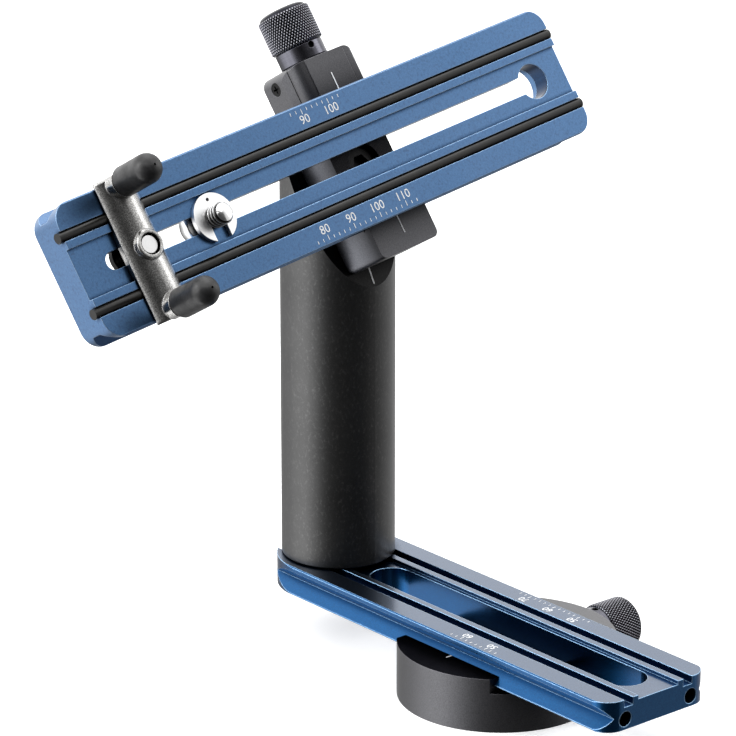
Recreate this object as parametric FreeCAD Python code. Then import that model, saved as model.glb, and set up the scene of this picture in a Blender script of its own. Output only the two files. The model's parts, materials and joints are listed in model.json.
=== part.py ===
import FreeCAD, Part
import math
import os
from FreeCAD import Vector

# A panoramic tripod head. Millimetres, +Z up. The origin is the centre of the base's underside.
# X runs along the lower rail, away from the column, and Y runs across it.
# The upper clamp and the camera plate are drawn flat in a frame of their own, with x along the
# plate, y up the slope and z out of the column's slanted face, and are then laid on that face.

# Fits, each a gap between two faces
running_gap = 0.05        # radius left between a pin or bolt and the hole that it turns or slides in
dovetail_gap = 0.1        # across two dovetail slopes that slide on each other
seat_gap = 0.05           # under a piece that slides on a flat seat
edge_break = 0.35         # small chamfer along a machined edge

# Dovetail sides that the rail and the plate share
dovetail_width = 38.5
dovetail_foot = 0.4       # upright land below the lower slope

# Base clamp
base_radius = 28.5
base_disc_height = 11.5
base_seat_height = 13.3
base_lip_height = 2.4     # how far the jaws stand above the seat
base_jaw_half_length = 19.5
base_split_edge = 19.0    # where the fixed block ends
base_split_gap = 3.0      # between the fixed block and the moving jaw
base_jaw_offset = 6.3     # how far the moving jaw's round outline stands out
base_axis_height = 8.3
base_pin_spread = 13.0
base_pin_height = 6.5
base_spot_depth = 0.9     # flat that is milled into the jaw's rim for the collar

# Tripod thread: 3/8 inch, at its tapping size
tripod_thread_radius = 4.0
tripod_bush_radius = 5.6
tripod_bush_height = 10.0

# Lower rail
rail_thickness = 8.75
rail_side_depth = 3.45    # depth of the V along each side
rail_free_end = 63.9
rail_end_corner = 5.75
rail_round_end = 17.0     # from the column's axis to the rail's round end
rail_groove_inner = 9.3
rail_groove_outer = 12.6
rail_groove_depth = 2.2
rail_recess_half = 7.4
rail_recess_depth = 1.1
rail_slot_half = 6.3
rail_slot_far_web = 7.0   # solid left between the slot and the free end
rail_slot_near = -45.7    # centre of the slot's round end by the column
end_hole_radius = 2.2
end_hole_spread = 12.1
end_hole_height = 3.1
end_hole_depth = 12.0

# Column
column_x = -69.7
column_radius = 16.45
column_height = 112.6     # from the rail to the slanted face, on the axis
slant_angle = 60.0        # slope of the face, from the horizontal
column_foot_chamfer = 0.5
column_screw_radius = 2.5
column_screw_head_radius = 4.25
column_screw_head_height = 5.0
column_screw_spread = 8.0
column_screw_reach = 14.0

# Swivel of the upper clamp on the slanted face
swivel_rest_turn = 7.8
swivel_bolt_radius = 3.0
swivel_bolt_reach = 14.0
swivel_head_radius = 5.0
swivel_head_height = 5.0
swivel_washer_radius = 5.0
swivel_washer_thickness = 1.0
swivel_pocket_radius = 5.4
swivel_pocket_floor = 6.0
swivel_pocket_run = 7.0   # how far the pocket runs on, down the slope

# Upper clamp
clamp_half_width = 11.0
clamp_low_end = -27.1
clamp_high_end = 32.5
clamp_seat_height = 13.9
clamp_lip_height = 2.75
clamp_corner = 2.0        # of the fixed block's low end, seen from above
jaw_corner = 3.0          # of the moving jaw's knob end
clamp_split_edge = 17.0
clamp_split_gap = 3.0
clamp_axis_height = 8.5
clamp_pin_spread = 7.0
clamp_pin_height = 4.0
clamp_side_height = 9.1   # where the moving jaw's low side starts to lean in
clamp_side_lean = 1.0
clamp_line_height = 11.6  # fine line under the rounded lip
clamp_line_width = 0.3
clamp_line_depth = 0.6
clamp_lip_round = 3.4     # how wide the lip's round is on that side
clamp_lip_flat = 7.85     # where the raised flat ends on the other side
clamp_lip_step = 0.3
clamp_lip_corner = 1.0    # small round along the other side
jaw_screw_radius = 2.0
jaw_screw_from_end = 3.8
jaw_screw_height = 5.2
jaw_screw_shank = 1.0
jaw_screw_length = 4.6
jaw_screw_sink = 0.1
jaw_screw_rim = 0.2
jaw_screw_cross = 1.15
jaw_screw_cross_depth = 0.8

# Jaw guides, the same in both clamps
pin_radius = 1.75
pin_grip = 9.0            # length held in the fixed block
pin_reach = 7.0           # length that stands into the moving jaw
pin_end_room = 1.0        # left beyond the pin in its blind hole
bush_wall = 0.8
bush_length = 6.0

# Clamping knobs, the same in both clamps
spindle_radius = 3.0
spindle_grip = 9.5        # length of thread in the fixed block
spindle_end_room = 1.0
collar_radius = 7.0
grip_radius = 7.65
grip_length = 10.2
grip_dome = 1.5
grip_bore_depth = 8.0
set_screw_radius = 1.0
set_screw_sink = 1.3      # how far the set screw lies below the collar's surface
set_screw_from_grip = 1.3
base_set_screw_turn = 0.0   # degrees about the knob's axis, from straight up
clamp_set_screw_turn = -7.5
spring_wire = 0.8
spring_turns = 3
spring_room = 0.35        # between the spindle and the spring, and round the spring
spring_pocket_depth = 4.5
base_collar_length = 4.2
clamp_collar_length = 4.8

# Camera plate
plate_centre = 1.7        # from the swivel's axis, up the slope
plate_low_end = -112.15
plate_length = 185.0
plate_thickness = 11.35
plate_side_depth = 3.0
plate_waist_top = 6.8
plate_slope_top = 10.4
plate_corner = 5.5
plate_recess_half = 7.2
plate_recess_depth = 1.2
plate_groove_inner = 9.4
plate_groove_outer = 12.4
plate_groove_depth = 2.75
plate_slot_half = 2.5
plate_slot_web = 12.4     # from the low end to the centre of the slot's round end
keyhole_from_end = 12.35  # from the high end to the keyhole's centre
keyhole_radius = 5.2
plate_channel_half = 6.3
plate_channel_depth = 4.7
plate_channel_web = 4.75  # solid left between the channel and each end
cord_proud = 0.25
cord_gap = 0.02
cord_low_overhang = 1.0
cord_high_overhang = 0.4

# Stop bar across the plate
stop_from_end = 21.4      # from the plate's low end to the bar's middle
stop_width = 12.3
stop_half_length = 20.4
stop_float = 0.3          # under the bar, so that it clears the cords
stop_edge_top = 0.7       # top of the upright edge below the bar's round back
stop_crown = 4.1
stop_end_break = 0.5      # chamfer round the bar's ends
stop_boss_radius = 4.15
stop_boss_top = 4.8
stop_boss_bore = 3.05
stop_boss_sink = 2.2
stop_tongue_half = 7.0
post_spread = 17.65
post_radius = 3.1
post_top = 14.0
cap_radius = 4.2
cap_tip = 21.2
cap_seat = 6.1            # top of the collar round each post, above the plate
cap_foot_round = 0.3
cap_gap = 0.05
cap_pinhole = 0.35
stud_radius = 2.45
button_radius = 2.5
button_top = 4.1
button_height = 1.2
nut_radius = 5.2
nut_thickness = 1.7

# Camera screw, 1/4 inch
screw_x = -64.4
screw_thread_radius = 3.175
screw_thread_top = 4.7
screw_neck_radius = 2.45
screw_head_radius = 4.75
screw_head_height = 4.3
screw_socket_flats = 5.0
screw_socket_depth = 2.4
clip_radius = 6.8
clip_thickness = 1.4
clip_mouth = 5.2
clip_hole_radius = 0.5
clip_hole_place = 5.1

# Worked out from the sizes above
rail_bottom = base_seat_height + seat_gap
rail_top = rail_bottom + rail_thickness
rail_near_end = column_x - rail_round_end
rail_slot_far = rail_free_end - rail_slot_far_web - rail_slot_half
half_dovetail = dovetail_width / 2
lip_shift = dovetail_gap * math.sqrt(2)
slant_centre = Vector(column_x, 0, rail_top + column_height)
slant_normal = Vector(math.sin(math.radians(slant_angle)), 0, math.cos(math.radians(slant_angle)))
plate_bottom = clamp_seat_height + seat_gap
plate_top = plate_bottom + plate_thickness
plate_high_end = plate_low_end + plate_length
keyhole_x = plate_high_end - keyhole_from_end
stop_x = plate_low_end + stop_from_end
plate_recess_floor = plate_top - plate_recess_depth
plate_web_bottom = plate_bottom + plate_channel_depth
cord_radius = (plate_groove_outer - plate_groove_inner) / 2 - cord_gap
cord_spread = (plate_groove_outer + plate_groove_inner) / 2
pin_bore = pin_radius + running_gap
bush_radius = pin_bore + bush_wall
spring_radius = spindle_radius + spring_room + spring_wire / 2
spring_pocket_radius = spring_radius + spring_wire / 2 + spring_room


def save(name, shape):
    shape.exportStep(f"parts/{name}.step")


def outline_face(points):
    return Part.Face(Part.makePolygon([*points, points[0]]))


def across_x(points, x_start, x_end):
    """A (y, z) outline carried along X."""
    face = outline_face([Vector(x_start, y, z) for y, z in points])
    return face.extrude(Vector(x_end - x_start, 0, 0))


def mirrored(points):
    """The points of one side, from the middle outwards and back, joined to their mirror image."""
    return points + [(-y, z) for y, z in reversed(points)]


def box(x_low, x_high, y_low, y_high, z_low, z_high):
    corner = Vector(x_low, y_low, z_low)
    return Part.makeBox(x_high - x_low, y_high - y_low, z_high - z_low, corner)


def rod(radius, start, end):
    return Part.makeCylinder(radius, (end - start).Length, start, end - start)


def upright(radius, x, y, z_low, z_high):
    return Part.makeCylinder(radius, z_high - z_low, Vector(x, y, z_low))


def round_ended(x_low, x_high, half, z_low, z_high, y=0):
    """An upright slot block along X, whose round ends have their centres at x_low and x_high."""
    middle = box(x_low, x_high, y - half, y + half, z_low, z_high)
    ends = [upright(half, x, y, z_low, z_high) for x in (x_low, x_high)]
    return middle.multiFuse(ends).removeSplitter()


def upright_edges(shape, keep):
    """The upright straight edges of a shape whose middle point passes the test."""
    chosen = []
    for edge in shape.Edges:
        if len(edge.Vertexes) != 2:
            continue
        low, high = (vertex.Point for vertex in edge.Vertexes)
        if abs(low.x - high.x) + abs(low.y - high.y) < 1e-6 and keep((low + high) / 2):
            chosen.append(edge)
    return chosen


def rounded_block(x_low, x_high, y_low, y_high, z_low, z_high, corner, keep=lambda middle: True):
    block = box(x_low, x_high, y_low, y_high, z_low, z_high)
    return block.makeFillet(corner, upright_edges(block, keep))


def turned(profile, centre, axis):
    """A (radius, distance) outline spun about the axis through the centre."""
    side = axis.cross(Vector(0, 0, 1))
    if side.Length < 0.1:
        side = Vector(1, 0, 0)
    side.normalize()
    points = [centre + side * radius + axis * distance for radius, distance in profile]
    return outline_face(points).revolve(centre, axis, 360)


def dovetail_lip(y_tip_side, seat, lip_height, depth_below):
    """Where a jaw's slope runs: its (distance from the rail's middle, height) at foot and tip."""
    foot = (half_dovetail + lip_shift + dovetail_foot + depth_below, seat - depth_below)
    tip = (half_dovetail + lip_shift + dovetail_foot - lip_height, seat + lip_height)
    return (y_tip_side * foot[0], foot[1]), (y_tip_side * tip[0], tip[1])


def helix_spring(start, length):
    """A die spring along +Y from its start point, with a square wire."""
    usable = length - spring_wire
    pitch = usable / spring_turns
    path = Part.Wire(Part.makeHelix(pitch, usable, spring_radius).Edges)
    first = Vector(spring_radius, 0, 0)
    along = Vector(0, 2 * math.pi * spring_radius, pitch).normalize()
    across = along.cross(Vector(1, 0, 0))
    corners = []
    for k in range(4):
        turn = math.radians(90 * k + 45)
        side = Vector(1, 0, 0) * math.cos(turn) + across * math.sin(turn)
        corners.append(first + side * spring_wire / 2)
    coil = path.makePipeShell([Part.makePolygon([*corners, corners[0]])], True, True)
    coil.rotate(Vector(0, 0, 0), Vector(1, 0, 0), -90)
    coil.translate(start + Vector(0, spring_wire / 2, 0))
    return coil


def knob_pieces(name, seat, height, collar_length, spindle_end, set_screw_turn):
    """A knob on an axis along +Y at the height, whose collar starts at y = seat."""
    along = Vector(0, 1, 0)
    foot = Vector(0, seat, height)
    grip_start = seat + collar_length
    grip_foot = Vector(0, grip_start, height)
    bore_end = Vector(0, grip_start + grip_bore_depth, height)

    spindle = rod(spindle_radius, Vector(0, spindle_end, height), bore_end)

    collar = rod(collar_radius, foot, grip_foot)
    collar = collar.makeChamfer(edge_break, [collar.Edges[0], collar.Edges[2]])
    collar = collar.cut(rod(spindle_radius, foot - along, grip_foot + along))
    turn = math.radians(set_screw_turn)
    outward = Vector(math.sin(turn), 0, math.cos(turn))
    hole_start = Vector(0, grip_start - set_screw_from_grip, height)
    hole_end = hole_start + outward * (collar_radius + edge_break)
    screw_end = hole_start + outward * (collar_radius - set_screw_sink)
    set_screw = rod(set_screw_radius, hole_start, screw_end)
    collar = collar.cut(rod(set_screw_radius, hole_start, hole_end))
    set_screw = set_screw.cut(rod(spindle_radius, foot, grip_foot))

    grip = turned(
        [
            (0, 0),
            (grip_radius - edge_break, 0),
            (grip_radius, edge_break),
            (grip_radius, grip_length - edge_break),
            (grip_radius - edge_break, grip_length),
            (grip_radius - grip_dome, grip_length + grip_dome * 0.7),
            (grip_radius - 2 * grip_dome, grip_length + grip_dome),
            (0, grip_length + grip_dome),
        ],
        grip_foot,
        along,
    )
    grip = grip.cut(rod(spindle_radius, grip_foot - along, bore_end))
    return {
        f"{name}_spindle": spindle,
        f"{name}_knob_collar": collar,
        f"{name}_knob_set_screw": set_screw,
        f"{name}_knob_grip": grip,
    }


def guide_pieces(name, split, gap, spread, height):
    """Two pins from the fixed block into the moving jaw, with the bushes that slide on them."""
    jaw_face = split + gap
    pins = []
    bushes = []
    for x in (-spread, spread):
        start = Vector(x, split - pin_grip, height)
        end = Vector(x, jaw_face + pin_reach, height)
        pins.append(rod(pin_radius, start, end))
        bush = rod(bush_radius, Vector(x, jaw_face, height), Vector(x, jaw_face + bush_length, height))
        bushes.append(bush.cut(rod(pin_bore, start, end + Vector(0, 1, 0))))
    return {
        f"{name}_guide_pins": Part.makeCompound(pins),
        f"{name}_jaw_bushes": Part.makeCompound(bushes),
    }


def guide_holes(split, gap, spread, height):
    """The holes for the pins in the block, then those for the bushes and pin ends in the jaw."""
    jaw_face = split + gap
    block_holes = []
    jaw_holes = []
    for x in (-spread, spread):
        start = Vector(x, split - pin_grip, height)
        block_holes.append(rod(pin_radius, start, Vector(x, split + 1, height)))
        bush_end = Vector(x, jaw_face + bush_length, height)
        jaw_holes.append(rod(bush_radius, Vector(x, jaw_face - 1, height), bush_end))
        hole_end = Vector(x, jaw_face + pin_reach + pin_end_room, height)
        jaw_holes.append(rod(pin_bore, bush_end - Vector(0, 1, 0), hole_end))
    return block_holes, jaw_holes


def spindle_holes(split, gap, height, outer):
    """The threaded hole in the block, then the bore and the spring's pocket in the jaw."""
    jaw_face = split + gap
    thread_end = Vector(0, split - spindle_grip - spindle_end_room, height)
    block_hole = rod(spindle_radius + running_gap, thread_end, Vector(0, split + 1, height))
    bore = rod(spindle_radius + running_gap, Vector(0, jaw_face - 1, height), Vector(0, outer + 1, height))
    pocket_end = Vector(0, jaw_face + spring_pocket_depth, height)
    pocket = rod(spring_pocket_radius, Vector(0, jaw_face - 1, height), pocket_end)
    return [block_hole], [bore, pocket]


def base_clamp():
    lip_top = base_seat_height + base_lip_height
    split, gap = base_split_edge, base_split_gap
    jaw_face = split + gap
    foot, tip = dovetail_lip(-1, base_seat_height, base_lip_height, 0)
    profile = [(-base_radius, 0), (split, 0), (split, base_seat_height), foot, tip, (-base_radius, lip_top)]
    platform = across_x(profile, -base_jaw_half_length, base_jaw_half_length)
    disc = upright(base_radius, 0, 0, 0, base_disc_height)
    disc = disc.common(box(-base_radius, base_radius, -base_radius, split, 0, base_disc_height))
    block = platform.common(upright(base_radius, 0, 0, 0, lip_top)).fuse(disc).removeSplitter()
    block_guides, jaw_guides = guide_holes(split, gap, base_pin_spread, base_pin_height)
    seat = base_jaw_offset + base_radius - base_spot_depth
    block_spindle, jaw_spindle = spindle_holes(split, gap, base_axis_height, seat)
    bush_hole = upright(tripod_bush_radius, 0, 0, -1, tripod_bush_height)
    block = block.cut(block_guides + block_spindle + [bush_hole])

    bush = upright(tripod_bush_radius, 0, 0, 0, tripod_bush_height)
    bush = bush.cut(upright(tripod_thread_radius, 0, 0, -1, tripod_bush_height + 1))

    foot, tip = dovetail_lip(1, base_seat_height, base_lip_height, edge_break)
    rim = base_jaw_offset + base_radius
    profile = [(jaw_face, 0), (jaw_face, foot[1]), foot, tip, (rim, lip_top), (rim, 0)]
    chord = math.sqrt(base_radius ** 2 - (jaw_face - base_jaw_offset) ** 2)
    jaw = across_x(profile, -chord, chord).common(upright(base_radius, 0, base_jaw_offset, 0, lip_top))
    spot_start = Vector(0, seat, base_axis_height)
    spot = rod(collar_radius + edge_break, spot_start, spot_start + Vector(0, base_radius, 0))
    jaw = jaw.cut(jaw_guides + jaw_spindle + [spot])

    pieces = {"base_block": block, "tripod_bush": bush, "base_moving_jaw": jaw}
    pieces.update(guide_pieces("base", split, gap, base_pin_spread, base_pin_height))
    spring_start = Vector(0, split, base_axis_height)
    pieces["base_jaw_spring"] = helix_spring(spring_start, gap + spring_pocket_depth)
    spindle_end = split - spindle_grip
    collar_seat = seat + seat_gap
    pieces.update(
        knob_pieces(
            "base", collar_seat, base_axis_height, base_collar_length, spindle_end, base_set_screw_turn,
        )
    )
    return pieces


def rail_section():
    """One half of the rail's section, from the middle of its underside round to the top's middle."""
    low_tip = dovetail_foot + rail_side_depth
    high_foot = dovetail_foot + 2 * rail_side_depth
    top = rail_thickness
    return [
        (half_dovetail - edge_break / 2, 0),
        (half_dovetail, edge_break / 2),
        (half_dovetail, dovetail_foot),
        (half_dovetail - rail_side_depth, low_tip),
        (half_dovetail, high_foot),
        (half_dovetail, top - edge_break),
        (half_dovetail - edge_break, top),
        (rail_groove_outer, top),
        (rail_groove_outer, top - rail_groove_depth),
        (rail_groove_inner, top - rail_groove_depth),
        (rail_groove_inner, top),
        (rail_recess_half, top),
        (rail_recess_half, top - rail_recess_depth),
    ]


def lower_rail():
    section = [(y, z + rail_bottom) for y, z in mirrored(rail_section())]
    rail = across_x(section, rail_near_end, rail_free_end)
    low, high = rail_bottom - 1, rail_top + 1
    plan = rounded_block(
        rail_near_end + half_dovetail, rail_free_end, -half_dovetail, half_dovetail, low, high,
        rail_end_corner, lambda middle: middle.x > 0,
    )
    plan = plan.fuse(upright(half_dovetail, rail_near_end + half_dovetail, 0, low, high))
    rail = rail.common(plan)
    slot = round_ended(rail_slot_near, rail_slot_far, rail_slot_half, low, high)
    holes = [slot]
    for y in (-end_hole_spread, end_hole_spread):
        start = Vector(rail_free_end - end_hole_depth, y, rail_bottom + end_hole_height)
        holes.append(rod(end_hole_radius, start, start + Vector(end_hole_depth + 1, 0, 0)))
    for x in column_screw_places():
        head = upright(column_screw_head_radius, x, 0, low, rail_bottom + column_screw_head_height)
        shank = upright(column_screw_radius, x, 0, low, high)
        holes += [head, shank]
    return rail.cut(holes)


def column_screw_places():
    return (column_x - column_screw_spread, column_x + column_screw_spread)


def column_pieces():
    slope = Vector(-slant_normal.z, 0, slant_normal.x)
    column_end = slant_centre.z + column_radius * math.tan(math.radians(slant_angle))
    column = upright(column_radius, column_x, 0, rail_top, column_end + 1)
    foot_edges = [edge for edge in column.Edges if edge.BoundBox.ZMax < rail_top + seat_gap]
    column = column.makeChamfer(column_foot_chamfer, foot_edges)
    reach = 4 * column_radius
    above = outline_face(
        [
            slant_centre + slope * a + Vector(0, b, 0)
            for a, b in ((-reach, -reach), (reach, -reach), (reach, reach), (-reach, reach))
        ]
    ).extrude(slant_normal * reach)
    column = column.cut(above)
    bolt_end = slant_centre - slant_normal * swivel_bolt_reach
    column = column.cut(rod(swivel_bolt_radius, bolt_end, slant_centre + slant_normal))
    screws = []
    for x in column_screw_places():
        tip = rail_top + column_screw_reach
        column = column.cut(upright(column_screw_radius, x, 0, rail_top - 1, tip))
        shank = upright(column_screw_radius, x, 0, rail_bottom + edge_break, tip)
        head_low = rail_bottom + edge_break
        head = upright(column_screw_head_radius, x, 0, head_low, rail_bottom + column_screw_head_height)
        socket = hexagon(4.0, x, 0, head_low - 1, head_low + 2.5)
        screws.append(shank.fuse(head).cut(socket).removeSplitter())
    return {"column": column, "column_screws": Part.makeCompound(screws)}


def hexagon(flats, x, y, z_low, z_high):
    corner = flats / math.sqrt(3)
    turns = [math.radians(60 * k) for k in range(6)]
    points = [Vector(x + corner * math.cos(t), y + corner * math.sin(t), z_low) for t in turns]
    return outline_face(points).extrude(Vector(0, 0, z_high - z_low))


def swivel_pieces():
    """The bolt and its washer, in the clamp's frame."""
    washer_low = swivel_pocket_floor
    washer_high = washer_low + swivel_washer_thickness
    washer = upright(swivel_washer_radius, 0, 0, washer_low + seat_gap, washer_high)
    washer = washer.cut(upright(swivel_bolt_radius, 0, 0, washer_low - 1, washer_high + 1))
    shank = upright(swivel_bolt_radius, 0, 0, -swivel_bolt_reach, washer_high)
    head = upright(swivel_head_radius, 0, 0, washer_high, washer_high + swivel_head_height)
    head = head.makeChamfer(edge_break, [head.Edges[0]])
    bolt = shank.fuse(head).cut(hexagon(5.0, 0, 0, washer_high + 2.5, washer_high + 9)).removeSplitter()
    return {"swivel_bolt": bolt, "swivel_washer": washer}


def clamp_outline(z_high, corner):
    """The upper clamp's outline seen from above, with its rounded corners."""
    return rounded_block(
        -clamp_half_width, clamp_half_width, clamp_low_end, clamp_high_end, 0, z_high, corner,
    )


def upper_clamp():
    lip_top = clamp_seat_height + clamp_lip_height
    split, gap = clamp_split_edge, clamp_split_gap
    jaw_face = split + gap
    foot, tip = dovetail_lip(-1, clamp_seat_height, clamp_lip_height, 0)
    profile = [
        (clamp_low_end, seat_gap),
        (split, seat_gap),
        (split, clamp_seat_height),
        (foot[0] + plate_centre, foot[1]),
        (tip[0] + plate_centre, tip[1]),
        (clamp_low_end, lip_top),
    ]
    body = across_x(profile, -clamp_half_width, clamp_half_width)
    body = body.common(clamp_outline(lip_top, clamp_corner))
    block_guides, jaw_guides = guide_holes(split, gap, clamp_pin_spread, clamp_pin_height)
    block_spindle, jaw_spindle = spindle_holes(split, gap, clamp_axis_height, clamp_high_end)
    pocket = round_ended(
        -swivel_pocket_run, 0, swivel_pocket_radius, swivel_pocket_floor, lip_top + 1,
    )
    pocket.rotate(Vector(0, 0, 0), Vector(0, 0, 1), 90)
    bolt_hole = upright(swivel_bolt_radius + running_gap, 0, 0, -1, swivel_pocket_floor + 1)
    body = body.cut(block_guides + block_spindle + [pocket, bolt_hole])

    foot, tip = dovetail_lip(1, clamp_seat_height, clamp_lip_height, edge_break)
    profile = [
        (jaw_face, 2 * seat_gap),
        (jaw_face, foot[1]),
        (foot[0] + plate_centre, foot[1]),
        (tip[0] + plate_centre, tip[1]),
        (clamp_high_end, lip_top),
        (clamp_high_end, 2 * seat_gap),
    ]
    jaw = across_x(profile, -clamp_half_width, clamp_half_width)
    jaw = jaw.common(clamp_outline(lip_top, jaw_corner))
    jaw = jaw.common(jaw_end_view())
    screw, screw_holes = side_screw()
    jaw = jaw.cut(jaw_guides + jaw_spindle + screw_holes)

    pieces = {"upper_clamp_body": body, "upper_moving_jaw": jaw, "upper_jaw_screw": screw}
    pieces.update(guide_pieces("upper", split, gap, clamp_pin_spread, clamp_pin_height))
    spring_start = Vector(0, split, clamp_axis_height)
    pieces["upper_jaw_spring"] = helix_spring(spring_start, gap + spring_pocket_depth)
    spindle_end = split - spindle_grip
    collar_seat = clamp_high_end + seat_gap
    pieces.update(
        knob_pieces(
            "upper", collar_seat, clamp_axis_height, clamp_collar_length, spindle_end, clamp_set_screw_turn,
        )
    )
    return pieces


def jaw_end_view():
    """The moving jaw seen from the knob. Its low side leans in above a fold, has a fine line cut in it
    and rolls over into the raised flat; its other side is square, with a small round."""
    lip_top = clamp_seat_height + clamp_lip_height
    shoulder = lip_top - clamp_lip_step
    lean_in = clamp_half_width - clamp_side_lean
    line_top = clamp_line_height + clamp_line_width
    flat_start = lean_in - clamp_lip_round
    turn = math.radians(45)
    roll = Vector(
        -flat_start - clamp_lip_round * math.sin(turn), 0, line_top + (shoulder - line_top) * math.cos(turn)
    )
    low_side = [
        Vector(-x, 0, z)
        for x, z in (
            (clamp_half_width, 0),
            (clamp_half_width, clamp_side_height),
            (lean_in, clamp_line_height),
            (lean_in - clamp_line_depth, clamp_line_height),
            (lean_in - clamp_line_depth, line_top),
            (lean_in, line_top),
        )
    ]
    round_end = Vector(-flat_start, 0, shoulder)
    round_in = clamp_half_width - clamp_lip_corner * (1 - math.cos(turn))
    high_side = [
        Vector(-flat_start, 0, lip_top),
        Vector(clamp_lip_flat, 0, lip_top),
        Vector(clamp_lip_flat, 0, shoulder),
        Vector(clamp_half_width - clamp_lip_corner, 0, shoulder),
    ]
    corner_middle = Vector(round_in, 0, shoulder - clamp_lip_corner * (1 - math.sin(turn)))
    corner_end = Vector(clamp_half_width, 0, shoulder - clamp_lip_corner)
    edges = [Part.makeLine(a, b) for a, b in zip(low_side, low_side[1:])]
    edges.append(Part.Arc(low_side[-1], roll, round_end).toShape())
    edges += [Part.makeLine(a, b) for a, b in zip([round_end, *high_side], high_side)]
    edges.append(Part.Arc(high_side[-1], corner_middle, corner_end).toShape())
    foot = Vector(clamp_half_width, 0, 0)
    edges += [Part.makeLine(corner_end, foot), Part.makeLine(foot, low_side[0])]
    face = Part.Face(Part.Wire(edges))
    return face.extrude(Vector(0, clamp_high_end + 1, 0))


def side_screw():
    """The cross-head screw in the jaw's side, and the solids to cut for it."""
    y = clamp_high_end - jaw_screw_from_end
    surface = Vector(-clamp_half_width, y, jaw_screw_height)
    inward = Vector(1, 0, 0)
    rim = jaw_screw_sink + jaw_screw_rim
    neck = rim + jaw_screw_radius - jaw_screw_shank
    screw = turned(
        [
            (0, jaw_screw_sink),
            (jaw_screw_radius, jaw_screw_sink),
            (jaw_screw_radius, rim),
            (jaw_screw_shank, neck),
            (jaw_screw_shank, jaw_screw_length),
            (0, jaw_screw_length),
        ],
        surface,
        inward,
    )
    mouth = rod(jaw_screw_radius, surface - inward, surface + inward * jaw_screw_sink)
    arm, half = jaw_screw_cross, jaw_screw_cross / 4
    x_low, x_high = surface.x, surface.x + jaw_screw_sink + jaw_screw_cross_depth
    bars = [
        box(x_low, x_high, y - a, y + a, jaw_screw_height - b, jaw_screw_height + b)
        for a, b in ((arm, half), (half, arm))
    ]
    return screw.cut(bars), [screw, mouth]


def plate_section():
    """One half of the plate's section, from the middle of its underside round to the top's middle."""
    top = plate_thickness
    return [
        (half_dovetail - edge_break / 2, 0),
        (half_dovetail, edge_break / 2),
        (half_dovetail, dovetail_foot),
        (half_dovetail - plate_side_depth, dovetail_foot + plate_side_depth),
        (half_dovetail - plate_side_depth, plate_waist_top),
        (half_dovetail, plate_slope_top),
        (half_dovetail, top - edge_break),
        (half_dovetail - edge_break, top),
        (plate_groove_outer, top),
        (plate_groove_outer, top - plate_groove_depth),
        (plate_groove_inner, top - plate_groove_depth),
        (plate_groove_inner, top),
        (plate_recess_half, top),
        (plate_recess_half, top - plate_recess_depth),
    ]


def camera_plate():
    section = [(y + plate_centre, z + plate_bottom) for y, z in mirrored(plate_section())]
    plate = across_x(section, plate_low_end, plate_high_end)
    y_low, y_high = plate_centre - half_dovetail, plate_centre + half_dovetail
    low, high = plate_bottom - 1, plate_top + 1
    plate = plate.common(rounded_block(plate_low_end, plate_high_end, y_low, y_high, low, high, plate_corner))
    slot = round_ended(plate_low_end + plate_slot_web, keyhole_x, plate_slot_half, low, high, plate_centre)
    keyhole = upright(keyhole_radius, keyhole_x, plate_centre, low, high)
    channel_inset = plate_channel_web + plate_channel_half
    channel = round_ended(
        plate_low_end + channel_inset, plate_high_end - channel_inset,
        plate_channel_half, low, plate_web_bottom, plate_centre,
    )
    return plate.cut([slot, keyhole, channel])


def rubber_cords():
    height = plate_top + cord_proud - cord_radius
    cords = {}
    for name, side in (("rubber_cord_upper", 1), ("rubber_cord_lower", -1)):
        y = plate_centre + side * cord_spread
        start = Vector(plate_low_end - cord_low_overhang, y, height)
        end = Vector(plate_high_end + cord_high_overhang, y, height)
        cords[name] = rod(cord_radius, start, end)
    return cords


def bar_outline(y):
    """The stop bar's section: a low upright edge on each side and a round back over them."""
    half = stop_width / 2
    floor = plate_top + stop_float
    edge_top = plate_top + stop_edge_top
    foot_left, foot_right = Vector(-half, y, floor), Vector(half, y, floor)
    left, right = Vector(-half, y, edge_top), Vector(half, y, edge_top)
    edges = [
        Part.makeLine(foot_left, foot_right),
        Part.makeLine(foot_right, right),
        Part.Arc(right, Vector(0, y, plate_top + stop_crown), left).toShape(),
        Part.makeLine(left, foot_left),
    ]
    face = Part.Face(Part.Wire(edges))
    face.translate(Vector(stop_x, 0, 0))
    return face


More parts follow.
